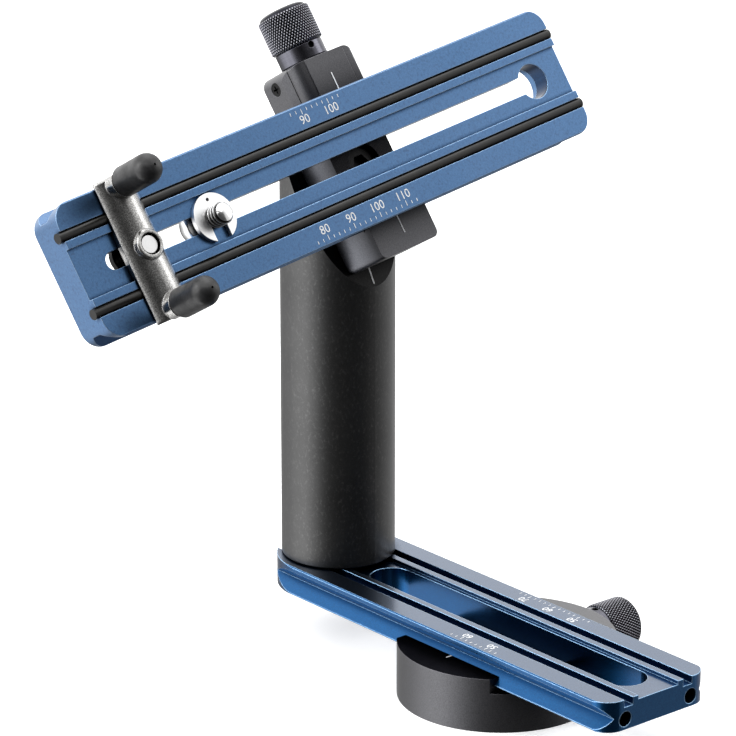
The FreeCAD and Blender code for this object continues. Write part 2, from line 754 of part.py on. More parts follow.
def stop_pieces():
    y_low, y_high = plate_centre - stop_half_length, plate_centre + stop_half_length
    bar = bar_outline(y_low).extrude(Vector(0, y_high - y_low, 0))
    arcs = [edge for edge in bar.Edges if edge.Curve.TypeId == "Part::GeomCircle"]
    bar = bar.makeChamfer(stop_end_break, arcs)
    tongue = box(
        stop_x - stop_width / 2, stop_x + stop_width / 2,
        plate_centre - stop_tongue_half, plate_centre + stop_tongue_half,
        plate_recess_floor + seat_gap, plate_top + stop_edge_top,
    )
    core = plate_top + stop_edge_top
    boss = upright(stop_boss_radius, stop_x, plate_centre, core, plate_top + stop_boss_top)
    boss = boss.makeChamfer(edge_break, [boss.Edges[0]])
    growths = [tongue, boss]
    for side in (1, -1):
        y = plate_centre + side * post_spread
        collar = upright(cap_radius, stop_x, y, core, plate_top + cap_seat)
        ends = box(stop_x - cap_radius, stop_x + cap_radius, y_low, y_high, core, plate_top + cap_seat)
        growths.append(collar.common(ends))
        growths.append(upright(post_radius, stop_x, y, core, plate_top + post_top))
    bar = bar.multiFuse(growths).removeSplitter()
    sink = upright(
        stop_boss_bore, stop_x, plate_centre,
        plate_top + stop_boss_top - stop_boss_sink, plate_top + stop_boss_top + 1,
    )
    stud_hole = upright(stud_radius + running_gap, stop_x, plate_centre, plate_bottom, plate_top + 10)
    bar = bar.cut([sink, stud_hole])

    stud_low = plate_web_bottom - nut_thickness - 2 * seat_gap - edge_break
    stud = upright(stud_radius, stop_x, plate_centre, stud_low, plate_top + button_top)
    button = upright(
        button_radius, stop_x, plate_centre, plate_top + button_top - button_height, plate_top + button_top,
    )
    button = button.makeChamfer(0.2, [button.Edges[0]])
    nut_top = plate_web_bottom - seat_gap
    nut = upright(nut_radius, stop_x, plate_centre, nut_top - nut_thickness, nut_top)
    nut = nut.cut(upright(stud_radius + running_gap, stop_x, plate_centre, 0, nut_top + 1))
    pieces = {"stop_bar": bar, "stop_screw": stud.fuse(button).removeSplitter(), "stop_nut": nut}
    for name, side in (("horn_cap_upper", 1), ("horn_cap_lower", -1)):
        pieces[name] = horn_cap(Vector(stop_x, plate_centre + side * post_spread, plate_top))
    return pieces


def horn_cap(centre):
    """A rubber cap with a round end, slipped over a post."""
    turn = math.radians(45)
    dome_foot = cap_tip - cap_radius
    foot = cap_seat + cap_gap
    line = [
        Vector(post_radius, 0, foot),
        Vector(cap_radius - cap_foot_round, 0, foot),
        Vector(cap_radius, 0, foot + cap_foot_round),
        Vector(cap_radius, 0, dome_foot),
    ]
    edges = [Part.makeLine(a, b) for a, b in zip(line, line[1:])]
    bend = Vector(cap_radius * math.cos(turn), 0, dome_foot + cap_radius * math.sin(turn))
    tip = Vector(0, 0, cap_tip)
    edges.append(Part.Arc(line[-1], bend, tip).toShape())
    inside = [tip, Vector(0, 0, post_top), Vector(post_radius, 0, post_top), line[0]]
    edges += [Part.makeLine(a, b) for a, b in zip(inside, inside[1:])]
    cap = Part.Face(Part.Wire(edges)).revolve(Vector(0, 0, 0), Vector(0, 0, 1), 360)
    cap = cap.cut(upright(cap_pinhole, 0, 0, post_top, cap_tip + 1))
    cap.translate(centre)
    return cap


def camera_screw_pieces():
    top = plate_web_bottom - seat_gap
    low = top - screw_head_height
    clip_low = plate_recess_floor + seat_gap
    clip_high = clip_low + clip_thickness
    screw = turned(
        [
            (0, low),
            (screw_head_radius - edge_break, low),
            (screw_head_radius, low + edge_break),
            (screw_head_radius, top),
            (screw_neck_radius, top),
            (screw_neck_radius, clip_high + seat_gap),
            (screw_thread_radius, clip_high + seat_gap),
            (screw_thread_radius, plate_top + screw_thread_top - 0.6),
            (screw_thread_radius - 0.6, plate_top + screw_thread_top),
            (0, plate_top + screw_thread_top),
        ],
        Vector(screw_x, plate_centre, 0),
        Vector(0, 0, 1),
    )
    screw = screw.cut(hexagon(screw_socket_flats, screw_x, plate_centre, low - 1, low + screw_socket_depth))
    clip = upright(clip_radius, screw_x, plate_centre, clip_low, clip_high)
    mouth = box(
        screw_x - clip_mouth / 2, screw_x + clip_mouth / 2,
        plate_centre - 2 * clip_radius, plate_centre, clip_low - 1, clip_high + 1,
    )
    seat = upright(screw_neck_radius + running_gap, screw_x, plate_centre, clip_low - 1, clip_high + 1)
    eye = upright(clip_hole_radius, screw_x, plate_centre + clip_hole_place, clip_low - 1, clip_high + 1)
    return {"camera_screw": screw, "retaining_clip": clip.cut([mouth, seat, eye])}


def on_slant(pieces):
    """Lays pieces that were drawn flat on the column's slanted face, turned by the rest angle."""
    across = Vector(0, 1, 0)
    up_slope = slant_normal.cross(across)
    turn = math.radians(swivel_rest_turn)
    plate_x = across * math.cos(turn) + up_slope * math.sin(turn)
    plate_y = up_slope * math.cos(turn) - across * math.sin(turn)
    laid = FreeCAD.Placement(slant_centre, FreeCAD.Rotation(plate_x, plate_y, slant_normal, "ZXY"))
    for shape in pieces.values():
        shape.Placement = laid.multiply(shape.Placement)
    return pieces


def main():
    os.makedirs("parts", exist_ok=True)
    pieces = base_clamp()
    pieces["lower_rail"] = lower_rail()
    pieces.update(column_pieces())
    slanted = swivel_pieces()
    slanted.update(upper_clamp())
    slanted["camera_plate"] = camera_plate()
    slanted.update(rubber_cords())
    slanted.update(stop_pieces())
    slanted.update(camera_screw_pieces())
    pieces.update(on_slant(slanted))
    for name, shape in pieces.items():
        save(name, shape)
        print(name, len(shape.Solids), shape.isValid(), round(shape.Volume, 2))


main()
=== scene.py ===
import json
import math
import bpy
import numpy as np
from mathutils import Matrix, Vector


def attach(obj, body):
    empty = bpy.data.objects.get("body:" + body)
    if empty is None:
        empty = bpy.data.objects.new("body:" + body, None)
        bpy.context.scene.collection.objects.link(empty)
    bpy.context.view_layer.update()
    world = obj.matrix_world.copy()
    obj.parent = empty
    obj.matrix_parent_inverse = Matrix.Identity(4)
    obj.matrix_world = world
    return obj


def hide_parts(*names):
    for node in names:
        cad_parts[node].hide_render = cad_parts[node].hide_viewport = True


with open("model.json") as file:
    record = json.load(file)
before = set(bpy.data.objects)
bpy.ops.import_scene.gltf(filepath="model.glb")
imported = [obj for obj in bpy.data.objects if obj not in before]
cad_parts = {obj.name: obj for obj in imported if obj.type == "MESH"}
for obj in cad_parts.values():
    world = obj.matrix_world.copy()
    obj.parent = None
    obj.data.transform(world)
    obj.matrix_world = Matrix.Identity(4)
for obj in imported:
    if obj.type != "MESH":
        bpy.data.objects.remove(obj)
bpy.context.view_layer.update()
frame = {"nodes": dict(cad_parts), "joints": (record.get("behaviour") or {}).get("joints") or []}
print("frame loaded:", len(frame["nodes"]), "CAD nodes")

mm = 0.001
joints = {joint["name"]: joint for joint in frame["joints"]}

# The slanted face's own frame: x along the camera plate, y up the slope, z straight out of the face
slantFoot = np.array(joints["clamp_swivel"]["pos_m"])
slantAxes = np.array([
    joints["plate_slide"]["axis"], joints["upper_jaw_slide"]["axis"], joints["clamp_swivel"]["axis"],
])
slantAxes /= np.linalg.norm(slantAxes, axis=1, keepdims=True)


# millimetres in the slanted frame become metres in the object's own frame
def onSlant(points):
    return slantFoot + np.asarray(points, float) * mm @ slantAxes


# millimetres in the object's own frame become metres
def onObject(points):
    return np.asarray(points, float) * mm


def meshPoints(name):
    mesh = frame["nodes"][name].data
    places = np.empty(len(mesh.vertices) * 3)
    mesh.vertices.foreach_get("co", places)
    return places.reshape(-1, 3)


# lowest and highest corner of a CAD node, in millimetres of the slanted frame
def nodeOnSlant(name):
    local = (meshPoints(name) - slantFoot) @ slantAxes.T / mm
    return local.min(axis=0), local.max(axis=0)


# lowest and highest corner of a CAD node, in millimetres of the object's frame
def nodeOnObject(name):
    places = meshPoints(name) / mm
    return places.min(axis=0), places.max(axis=0)


# camera

view = {
    "eye": (811.1, -735.3, 471.15),      # mm, in the object's frame
    "target": (-56.4, 0.0, 81.15),
    "focalPixels": 4238.0,               # focal length, in widths of one pixel
    "frameWidth": 736,                   # pixels
    "sensorWidth": 36.0,                 # mm
    "clip": (0.05, 50.0),                # m
}


def makeCamera():
    eye = Vector(view["eye"]) * mm
    target = Vector(view["target"]) * mm
    data = bpy.data.cameras.new("studioCamera")
    data.sensor_width = view["sensorWidth"]
    data.sensor_fit = "HORIZONTAL"
    data.lens = view["focalPixels"] / view["frameWidth"] * view["sensorWidth"]
    data.clip_start, data.clip_end = view["clip"]
    camera = bpy.data.objects.new("studioCamera", data)
    camera.location = eye
    camera.rotation_euler = (target - eye).to_track_quat("-Z", "Y").to_euler()
    bpy.context.scene.collection.objects.link(camera)
    bpy.context.scene.camera = camera
    return eye - target


# softboxes: turn from the camera to its right and height in degrees, distance m, size m, watts

boxCentre = (-40.0, 0.0, 110.0)      # mm, what they all face
softboxes = {
    "keyBox": {"turn": -72, "height": 28, "distance": 1.6, "size": (0.6, 1.1), "watts": 5.0},
    "fillBox": {"turn": 108, "height": 22, "distance": 1.6, "size": (0.6, 0.9), "watts": 2.8},
    "topBox": {"turn": 165, "height": 72, "distance": 1.7, "size": (1.2, 1.2), "watts": 6.0},
}


def makeSoftbox(name, box):
    start = math.atan2(towardsCamera.y, towardsCamera.x)
    around = start + math.radians(box["turn"])
    rise = math.radians(box["height"])
    away = Vector((math.cos(around) * math.cos(rise), math.sin(around) * math.cos(rise), math.sin(rise)))
    data = bpy.data.lights.new(name, "AREA")
    data.shape = "RECTANGLE"
    data.size, data.size_y = box["size"]
    data.energy = box["watts"]
    lamp = bpy.data.objects.new(name, data)
    lamp.location = Vector(boxCentre) * mm + away * box["distance"]
    lamp.rotation_euler = (-away).to_track_quat("-Z", "Y").to_euler()
    bpy.context.scene.collection.objects.link(lamp)


towardsCamera = makeCamera()
for boxName, box in softboxes.items():
    makeSoftbox(boxName, box)
print("camera and", len(softboxes), "softboxes placed")


# node helpers

def addNode(tree, kind, inputs=None, **settings):
    made = tree.nodes.new(kind)
    for key, value in settings.items():
        setattr(made, key, value)
    for key, value in (inputs or {}).items():
        if isinstance(value, bpy.types.NodeSocket):
            tree.links.new(value, made.inputs[key])
        else:
            made.inputs[key].default_value = value
    return made


def addMath(tree, operation, first, second, clamp=False):
    made = addNode(tree, "ShaderNodeMath", {0: first, 1: second}, operation=operation, use_clamp=clamp)
    return made.outputs["Value"]


def addVectorMath(tree, operation, inputs, output="Vector"):
    return addNode(tree, "ShaderNodeVectorMath", inputs, operation=operation).outputs[output]


def dot(tree, first, second):
    return addVectorMath(tree, "DOT_PRODUCT", {0: first, 1: second}, "Value")


# a value stretched to run from low to high while it goes from fromLow to fromHigh
def spread(tree, value, low, high, fromLow=0.3, fromHigh=0.7):
    return addNode(
        tree, "ShaderNodeMapRange",
        {"Value": value, "From Min": fromLow, "From Max": fromHigh, "To Min": low, "To Max": high},
    ).outputs["Result"]


# a mixing node has sockets of one name for each kind of data: 6 and 7 are its two colours
def mixColour(tree, factor, first, second):
    return addNode(tree, "ShaderNodeMix", {0: factor, 6: first, 7: second}, data_type="RGBA").outputs[2]


def objectPlace(tree):
    return addNode(tree, "ShaderNodeTexCoord").outputs["Object"]


def addRelief(tree, height, depth, normal):
    made = addNode(tree, "ShaderNodeBump", {"Height": height, "Distance": depth, "Normal": normal})
    return made.outputs["Normal"]


# an empty shader node group, with its input and output nodes
def newGroup(name, inputs, outputs):
    tree = bpy.data.node_groups.new(name, "ShaderNodeTree")
    for title, kind, value in inputs:
        socket = tree.interface.new_socket(title, in_out="INPUT", socket_type=kind)
        if value is not None:
            socket.default_value = value
    for title, kind in outputs:
        tree.interface.new_socket(title, in_out="OUTPUT", socket_type=kind)
    return tree, tree.nodes.new("NodeGroupInput"), tree.nodes.new("NodeGroupOutput")


floatSocket = "NodeSocketFloat"
vectorSocket = "NodeSocketVector"


# fine blasted grain and slow clouds on Object coordinates: two noises, the fine one also as relief
def grainGroup():
    tree, start, end = newGroup(
        "finishGrain",
        [("Grain Scale", floatSocket, 3000), ("Cloud Scale", floatSocket, 60),
         ("Depth", floatSocket, 0.00002), ("Normal", vectorSocket, None)],
        [("Grain", floatSocket), ("Cloud", floatSocket), ("Normal", vectorSocket)],
    )
    place = objectPlace(tree)
    grain = addNode(
        tree, "ShaderNodeTexNoise",
        {"Vector": place, "Scale": start.outputs["Grain Scale"], "Detail": 3.0, "Roughness": 0.6},
    )
    cloud = addNode(
        tree, "ShaderNodeTexNoise",
        {"Vector": place, "Scale": start.outputs["Cloud Scale"], "Detail": 4.0, "Roughness": 0.55},
    )
    relief = addRelief(tree, grain.outputs["Fac"], start.outputs["Depth"], start.outputs["Normal"])
    tree.links.new(grain.outputs["Fac"], end.inputs["Grain"])
    tree.links.new(cloud.outputs["Fac"], end.inputs["Cloud"])
    tree.links.new(relief, end.inputs["Normal"])
    return tree


# rounded edges: the normal smoothed over a small radius, and a mask of how far that turns from the
# face's own, broken up by a noise; the finishes paint a highlight along the edges with that mask
def edgeGroup():
    tree, start, end = newGroup(
        "edgeRoundingAndHighlight",
        [("Radius", floatSocket, 0.0003), ("Gain", floatSocket, 6.0), ("Breakup", floatSocket, 900.0)],
        [("Edge", floatSocket), ("Normal", vectorSocket)],
    )
    soft = addNode(tree, "ShaderNodeBevel", {"Radius": start.outputs["Radius"]}, samples=6)
    flat = addNode(tree, "ShaderNodeNewGeometry")
    turned = addMath(tree, "SUBTRACT", 1.0, dot(tree, soft.outputs["Normal"], flat.outputs["Normal"]))
    breakup = addNode(
        tree, "ShaderNodeTexNoise", {"Vector": objectPlace(tree), "Scale": start.outputs["Breakup"]},
    )
    gain = addMath(tree, "MULTIPLY", turned, start.outputs["Gain"])
    tree.links.new(addMath(tree, "MULTIPLY", gain, breakup.outputs["Fac"], True), end.inputs["Edge"])
    tree.links.new(soft.outputs["Normal"], end.inputs["Normal"])
    return tree


# turned lines: noise of one number, the distance along an axis plus the distance from it, so that the
# lines run round a shaft and make rings on its end
def linesGroup():
    tree, start, end = newGroup(
        "toolLines",
        [("Axis", vectorSocket, (0, 0, 1)), ("Centre", vectorSocket, (0, 0, 0)),
         ("Scale", floatSocket, 4000.0), ("Depth", floatSocket, 0.00001), ("Normal", vectorSocket, None)],
        [("Lines", floatSocket), ("Normal", vectorSocket)],
    )
    axis = start.outputs["Axis"]
    out = addVectorMath(tree, "SUBTRACT", {0: objectPlace(tree), 1: start.outputs["Centre"]})
    along = dot(tree, out, axis)
    onAxis = addVectorMath(tree, "SCALE", {0: axis, "Scale": along})
    sideways = addVectorMath(tree, "SUBTRACT", {0: out, 1: onAxis})
    distance = addVectorMath(tree, "LENGTH", {0: sideways}, "Value")
    lines = addNode(
        tree, "ShaderNodeTexNoise",
        {"W": addMath(tree, "ADD", along, distance), "Scale": start.outputs["Scale"], "Detail": 2.0},
        noise_dimensions="1D",
    )
    relief = addRelief(tree, lines.outputs["Fac"], start.outputs["Depth"], start.outputs["Normal"])
    tree.links.new(lines.outputs["Fac"], end.inputs["Lines"])
    tree.links.new(relief, end.inputs["Normal"])
    return tree


# specks: a noise on stretched coordinates, cut off high, so that only its peaks show
def speckGroup():
    tree, start, end = newGroup(
        "finishSpecks",
        [("Stretch", vectorSocket, (1, 1, 1)), ("Scale", floatSocket, 1500.0),
         ("Low", floatSocket, 0.6), ("High", floatSocket, 0.68)],
        [("Speck", floatSocket)],
    )
    stretched = addVectorMath(tree, "MULTIPLY", {0: objectPlace(tree), 1: start.outputs["Stretch"]})
    noise = addNode(
        tree, "ShaderNodeTexNoise",
        {"Vector": stretched, "Scale": start.outputs["Scale"], "Detail": 4.0, "Roughness": 0.65},
    )
    speck = spread(tree, noise.outputs["Fac"], 0.0, 1.0, start.outputs["Low"], start.outputs["High"])
    tree.links.new(speck, end.inputs["Speck"])
    return tree


groups = {"grain": grainGroup(), "edge": edgeGroup(), "lines": linesGroup(), "specks": speckGroup()}


def placeGroup(tree, key, inputs):
    return addNode(tree, "ShaderNodeGroup", inputs, node_tree=groups[key])


def placeEdge(tree, look):
    return placeGroup(tree, "edge", {"Radius": look["edgeRadius"], "Gain": look["edgeGain"]})


def placeGrain(tree, look, normal):
    return placeGroup(tree, "grain", {
        "Grain Scale": look["grain"], "Cloud Scale": look["cloud"],
        "Depth": look["depth"], "Normal": normal,
    })


# 1 where nothing stands within reach of a place and 0 in a hollow, stretched between the two cuts: the mask
# by which shade is painted into hollows and under overhangs
def openShare(tree, reach, cuts, samples):
    hollow = addNode(tree, "ShaderNodeAmbientOcclusion", {"Distance": reach}, samples=samples)
    return spread(tree, hollow.outputs["AO"], 0.0, 1.0, *cuts)


def newMaterial(name):
    made = bpy.data.materials.new(name)
    made.use_nodes = True
    tree = made.node_tree
    return made, tree, tree.nodes["Principled BSDF"]


# the colour, a roughness that follows the slow clouds between two values, and the grain's normal
def feedShader(tree, shader, colour, roughness, grain):
    tree.links.new(colour, shader.inputs["Base Color"])
    tree.links.new(spread(tree, grain.outputs["Cloud"], *roughness), shader.inputs["Roughness"])
    tree.links.new(grain.outputs["Normal"], shader.inputs["Normal"])


def grey(level):
    return (level, level, level, 1)


# In the looks below lengths are in metres unless a note says mm, a noise's scale is in waves to the metre,
# and a pair of cuts says over which part of a mask the change runs.

# anodised finishes

toneCuts = (0.36, 0.64)      # dark dye to light
openSamples = 5

anodised = {
    "blueBlasted": {
        "dark": (0.020, 0.087, 0.211, 1), "light": (0.040, 0.127, 0.276, 1),
        "edge": (0.34, 0.52, 0.76, 1), "edgeRadius": 0.00034, "edgeGain": 11.0,
        "speck": (0.006, 0.036, 0.110, 1), "speckScale": 1500.0, "stretch": (1, 1, 1),
        "speckCuts": (0.53, 0.66), "speckAmount": 0.6, "metallic": 1.0, "roughness": (0.27, 0.34),
        "grain": 3000, "cloud": 22, "depth": 0.000012,
        "coat": (0.75, 0.95), "coatRoughness": 0.30, "coatIor": 1.56,
        "paintedShade": (0.001, 0.008, 0.030, 1), "paintedShadeReach": 0.0013, "openCuts": (0.44, 0.92),
    },
    "blueDrawn": {
        "dark": (0.002, 0.050, 0.150, 1), "light": (0.004, 0.070, 0.200, 1),
        "edge": (0.36, 0.60, 0.88, 1), "edgeRadius": 0.00036, "edgeGain": 16.0,
        "speck": (0.002, 0.048, 0.170, 1), "speckScale": 900.0, "stretch": (0.25, 1, 1),
        "speckCuts": (0.60, 0.72), "speckAmount": 0.4, "metallic": 1.0, "roughness": (0.22, 0.30),
        "grain": 3200, "cloud": 26, "depth": 0.000006,
        "coat": (0.9, 1.0), "coatRoughness": 0.16, "coatIor": 1.22,
        "paintedShade": (0.001, 0.016, 0.054, 1), "paintedShadeReach": 0.0026, "openCuts": (0.30, 0.95),
    },
    "greyAnodised": {
        "dark": (0.040, 0.040, 0.045, 1), "light": (0.067, 0.067, 0.074, 1),
        "edge": (0.24, 0.24, 0.26, 1), "edgeRadius": 0.00024, "edgeGain": 4.0,
        "speck": (0.018, 0.018, 0.020, 1), "speckScale": 1700.0, "stretch": (1, 1, 1),
        "speckCuts": (0.58, 0.70), "speckAmount": 0.4, "metallic": 0.9, "roughness": (0.32, 0.42),
        "grain": 3200, "cloud": 30, "depth": 0.000010,
        "coat": (0.5, 0.7), "coatRoughness": 0.32, "coatIor": 1.50,
        "paintedShade": (0.003, 0.003, 0.004, 1), "paintedShadeReach": 0.0120, "openCuts": (0.38, 0.95),
    },
    "blackAnodised": {
        "dark": (0.004, 0.004, 0.004, 1), "light": (0.013, 0.013, 0.013, 1),
        "edge": (0.06, 0.06, 0.06, 1), "edgeRadius": 0.00035, "edgeGain": 1.5,
        "speck": (0.075, 0.075, 0.074, 1), "speckScale": 1250.0, "stretch": (1, 1, 0.7),
        "speckCuts": (0.54, 0.78), "speckAmount": 0.9, "metallic": 0.7, "roughness": (0.34, 0.46),
        "grain": 2300, "cloud": 34, "depth": 0.000022,
        "coat": (0.7, 1.0), "coatRoughness": 0.34, "coatIor": 1.60,
        "paintedShade": (0.002, 0.002, 0.002, 1), "paintedShadeReach": 0.0060, "openCuts": (0.25, 0.75),
    },
    # a darker copy of the black for the column's slanted top face: painted shade under the clamp and plate
    "blackFaceShaded": {
        "dark": (0.003, 0.003, 0.003, 1), "light": (0.007, 0.007, 0.007, 1),
        "edge": (0.05, 0.05, 0.05, 1), "edgeRadius": 0.00035, "edgeGain": 1.5,
        "speck": (0.030, 0.030, 0.030, 1), "speckScale": 1250.0, "stretch": (1, 1, 1),
        "speckCuts": (0.58, 0.80), "speckAmount": 0.4, "metallic": 1.0, "roughness": (0.34, 0.44),
        "grain": 2300, "cloud": 34, "depth": 0.000012,
        "coat": (0.4, 0.6), "coatRoughness": 0.34, "coatIor": 1.25,
        "paintedShade": (0.002, 0.002, 0.002, 1), "paintedShadeReach": 0.0060, "openCuts": (0.25, 0.75),
    },
}

# finishes that differ from one of these in a few values
# the rail's top faces: a darker dye under a more reflective coat, a shaded copy of the rail's blue set for
# how the top looks in this light
anodised["blueGlazed"] = dict(
    anodised["blueDrawn"], dark=(0.003, 0.038, 0.105, 1), light=(0.008, 0.054, 0.140, 1), coatIor=1.62,
)
anodised["blueEnd"] = dict(
    anodised["blueDrawn"], dark=(0.004, 0.085, 0.240, 1), light=(0.010, 0.115, 0.310, 1), coatIor=1.4,
)
# a darker copy of the drawn blue for the walls of the plate's slot and keyhole: painted shade
anodised["blueBoreShaded"] = dict(
    anodised["blueDrawn"], dark=(0.001, 0.014, 0.045, 1), light=(0.002, 0.026, 0.078, 1),
    coatRoughness=0.22,
)
anodised["greyBase"] = dict(
    anodised["greyAnodised"], dark=(0.048, 0.048, 0.054, 1), light=(0.080, 0.080, 0.088, 1),
)
# a darker copy of the grey without the grazing sheen, for the base block's top faces: painted shade
anodised["greyShaded"] = dict(
    anodised["greyAnodised"], dark=(0.020, 0.020, 0.025, 1), light=(0.036, 0.036, 0.044, 1),
    coat=(0.02, 0.05), metallic=1.0, tint=grey(0.20),
)
# a lighter copy of the grey whose colour darkens towards the plate above it: painted light and shade
anodised["greyWithShadeRising"] = dict(
    anodised["greyAnodised"], dark=(0.078, 0.081, 0.096, 1), light=(0.125, 0.130, 0.150, 1),
    # painted shade: from the first height to the second the colour darkens to the share left
    fade=(6.0, 15.5), fadeTo=0.12,      # mm above the slanted face, and the share left at the upper end
)


# blasted and dyed aluminium: two tones mixed by the grain, specks, a painted highlight along its edges and
# painted shade in its hollows, under the hard clear skin of the oxide
def anodisedMaterial(name, look):
    made, tree, shader = newMaterial(name)
    edge = placeEdge(tree, look)
    grain = placeGrain(tree, look, edge.outputs["Normal"])
    specks = placeGroup(tree, "specks", {
        "Stretch": look["stretch"], "Scale": look["speckScale"],
        "Low": look["speckCuts"][0], "High": look["speckCuts"][1],
    })
    toneMask = spread(tree, grain.outputs["Grain"], 0.0, 1.0, *toneCuts)
    dyed = mixColour(tree, toneMask, look["dark"], look["light"])
    speckMask = addMath(tree, "MULTIPLY", specks.outputs["Speck"], look["speckAmount"])
    speckled = mixColour(tree, speckMask, dyed, look["speck"])
    # a painted highlight: the edge colour laid along the rounded edges
    edged = mixColour(tree, edge.outputs["Edge"], speckled, look["edge"])
    # painted shade: towards the dark shade colour in hollows and under overhangs, with less clear coat
    # there
    openMask = openShare(tree, look["paintedShadeReach"], look["openCuts"], openSamples)
    # painted shade rising with height above the slanted face, where a look asks for it
    if "fade" in look:
        foot = float(slantFoot @ slantAxes[2])
        start, end = (foot + level * mm for level in look["fade"])
        height = dot(tree, objectPlace(tree), tuple(slantAxes[2]))
        shadeByHeight = spread(tree, height, 1.0, look["fadeTo"], start, end)
        openMask = addMath(tree, "MULTIPLY", openMask, shadeByHeight)
    feedShader(tree, shader, mixColour(tree, openMask, look["paintedShade"], edged), look["roughness"], grain)
    coat = addMath(tree, "MULTIPLY", spread(tree, grain.outputs["Cloud"], *look["coat"]), openMask)
    tree.links.new(coat, shader.inputs["Coat Weight"])
    shader.inputs["Metallic"].default_value = look["metallic"]
    shader.inputs["Coat Roughness"].default_value = look["coatRoughness"]
    shader.inputs["Coat IOR"].default_value = look["coatIor"]
    shader.inputs["Specular Tint"].default_value = look.get("tint", grey(1))
    return made


# turned metals

metals = {
    "collarMetal": {"colour": (0.092, 0.092, 0.110, 1), "bright": (0.175, 0.175, 0.20, 1),
                    "roughness": (0.14, 0.22)},
    "clipSatin": {"colour": grey(0.86), "bright": grey(0.96), "roughness": (0.30, 0.38)},
    "turnedSteel": {"colour": grey(0.40), "bright": grey(0.58), "roughness": (0.22, 0.36)},
    "brightSteel": {"colour": grey(0.70), "bright": grey(0.84), "roughness": (0.28, 0.38)},
    "blackSteel": {"colour": grey(0.012), "bright": grey(0.035), "roughness": (0.32, 0.46)},
    "springSteel": {"colour": grey(0.35), "bright": grey(0.55), "roughness": (0.2, 0.32)},
    "turnedBrass": {"colour": (0.62, 0.42, 0.16, 1), "bright": (0.80, 0.60, 0.28, 1),
                    "roughness": (0.22, 0.36)},
    "knurledBlack": {"colour": (0.022, 0.022, 0.028, 1), "bright": (0.30, 0.30, 0.33, 1),
                     "roughness": (0.16, 0.24), "groove": grey(0.003)},
    "screwSteel": {"colour": grey(0.16), "bright": grey(0.72), "roughness": (0.18, 0.28),
                   "groove": grey(0.004)},
}
turned = {
    "lineScale": 5200.0, "lineDepth": 0.000006, "lineShare": 0.6, "edgeRadius": 0.00016, "edgeGain": 2.0,
    "grain": 4500.0, "cloud": 240.0, "depth": 0.000002, "grimeShare": 0.5, "halfWearAndShade": 0.5,
}


# turned metal: fine lines round the axis, grime in slow clouds and a painted highlight along the edges.
# A look with a groove follows its piece's per-vertex value of wear and shade: painted shade, the groove's
# colour, at 0, the metal's half way and the bright, worn one at 1.
def metalMaterial(name, look, axis, centre):
    made, tree, shader = newMaterial(name)
    edge = placeEdge(tree, turned)
    lines = placeGroup(tree, "lines", {
        "Axis": tuple(axis), "Centre": tuple(centre), "Scale": turned["lineScale"],
        "Depth": turned["lineDepth"], "Normal": edge.outputs["Normal"],
    })
    grain = placeGrain(tree, turned, lines.outputs["Normal"])
    lineMask = spread(tree, lines.outputs["Lines"], 0.0, turned["lineShare"])
    tone = mixColour(tree, lineMask, look["colour"], look["bright"])
    grimeMask = spread(tree, grain.outputs["Cloud"], 0.0, turned["grimeShare"])
    grimy = mixColour(tree, grimeMask, tone, look["colour"])
    # a painted highlight: the bright colour laid along the rounded edges
    colour = mixColour(tree, edge.outputs["Edge"], grimy, look["bright"])
    # painted shade in the grooves, wear bright on the crests
    if "groove" in look:
        wearAndShade = addNode(tree, "ShaderNodeAttribute", attribute_name="wearAndShade").outputs["Fac"]
        lowMask = spread(tree, wearAndShade, 0.0, 1.0, 0.0, turned["halfWearAndShade"])
        highMask = spread(tree, wearAndShade, 0.0, 1.0, turned["halfWearAndShade"], 1.0)
        colour = mixColour(tree, lowMask, look["groove"], look["colour"])
        colour = mixColour(tree, highMask, colour, look["bright"])
    feedShader(tree, shader, colour, look["roughness"], grain)
    shader.inputs["Metallic"].default_value = 1.0
    return made


# the cast bar

casting = {
    "bright": (0.50, 0.495, 0.485, 1), "dull": (0.26, 0.257, 0.25, 1), "toneCuts": (0.38, 0.60),
    "hollowShade": (0.018, 0.017, 0.016, 1), "hollowShadeReach": 0.003, "hollowShadeCuts": (0.30, 0.80), "hollowShadeSamples": 6,
    "grain": 2900.0, "cloud": 300.0, "depth": 0.000006, "swell": 230.0, "swellDepth": 0.00002,
    "edgeRadius": 0.0005, "edgeGain": 1.5, "roughness": (0.17, 0.24),
}


# tumbled casting: sparkling grit over slow swells, painted shade in the hollows
def castMaterial():
    made, tree, shader = newMaterial("castMetal")
    swell = addNode(
        tree, "ShaderNodeTexNoise", {"Vector": objectPlace(tree), "Scale": casting["swell"], "Detail": 1.0},
    )
    edge = placeEdge(tree, casting)
    swollen = addRelief(tree, swell.outputs["Fac"], casting["swellDepth"], edge.outputs["Normal"])
    grain = placeGrain(tree, casting, swollen)
    # painted shade: the colour goes towards the dark shade colour where the bar is hemmed in
    unshadedShare = openShare(tree, casting["hollowShadeReach"], casting["hollowShadeCuts"], casting["hollowShadeSamples"])
    toneMask = spread(tree, grain.outputs["Grain"], 0.0, 1.0, *casting["toneCuts"])
    metal = mixColour(tree, toneMask, casting["dull"], casting["bright"])
    feedShader(tree, shader, mixColour(tree, unshadedShare, casting["hollowShade"], metal), casting["roughness"], grain)
    shader.inputs["Metallic"].default_value = 1.0
    return made


# rubbers

rubbers = {
    "cordRubber": {"dark": (0.004, 0.004, 0.004, 1), "light": (0.011, 0.010, 0.008, 1), "ior": 1.38,
                   "roughness": (0.34, 0.25), "grain": 1500.0, "cloud": 120.0, "depth": 0.00002},
    "capRubber": {"dark": (0.004, 0.004, 0.0045, 1), "light": (0.020, 0.020, 0.021, 1), "ior": 1.44,
                  "roughness": (0.46, 0.30), "grain": 700.0, "cloud": 330.0, "depth": 0.00007},
}
moulding = {"bloomCuts": (0.38, 0.62), "pitCuts": (0.3, 0.55), "pitShare": 0.5}


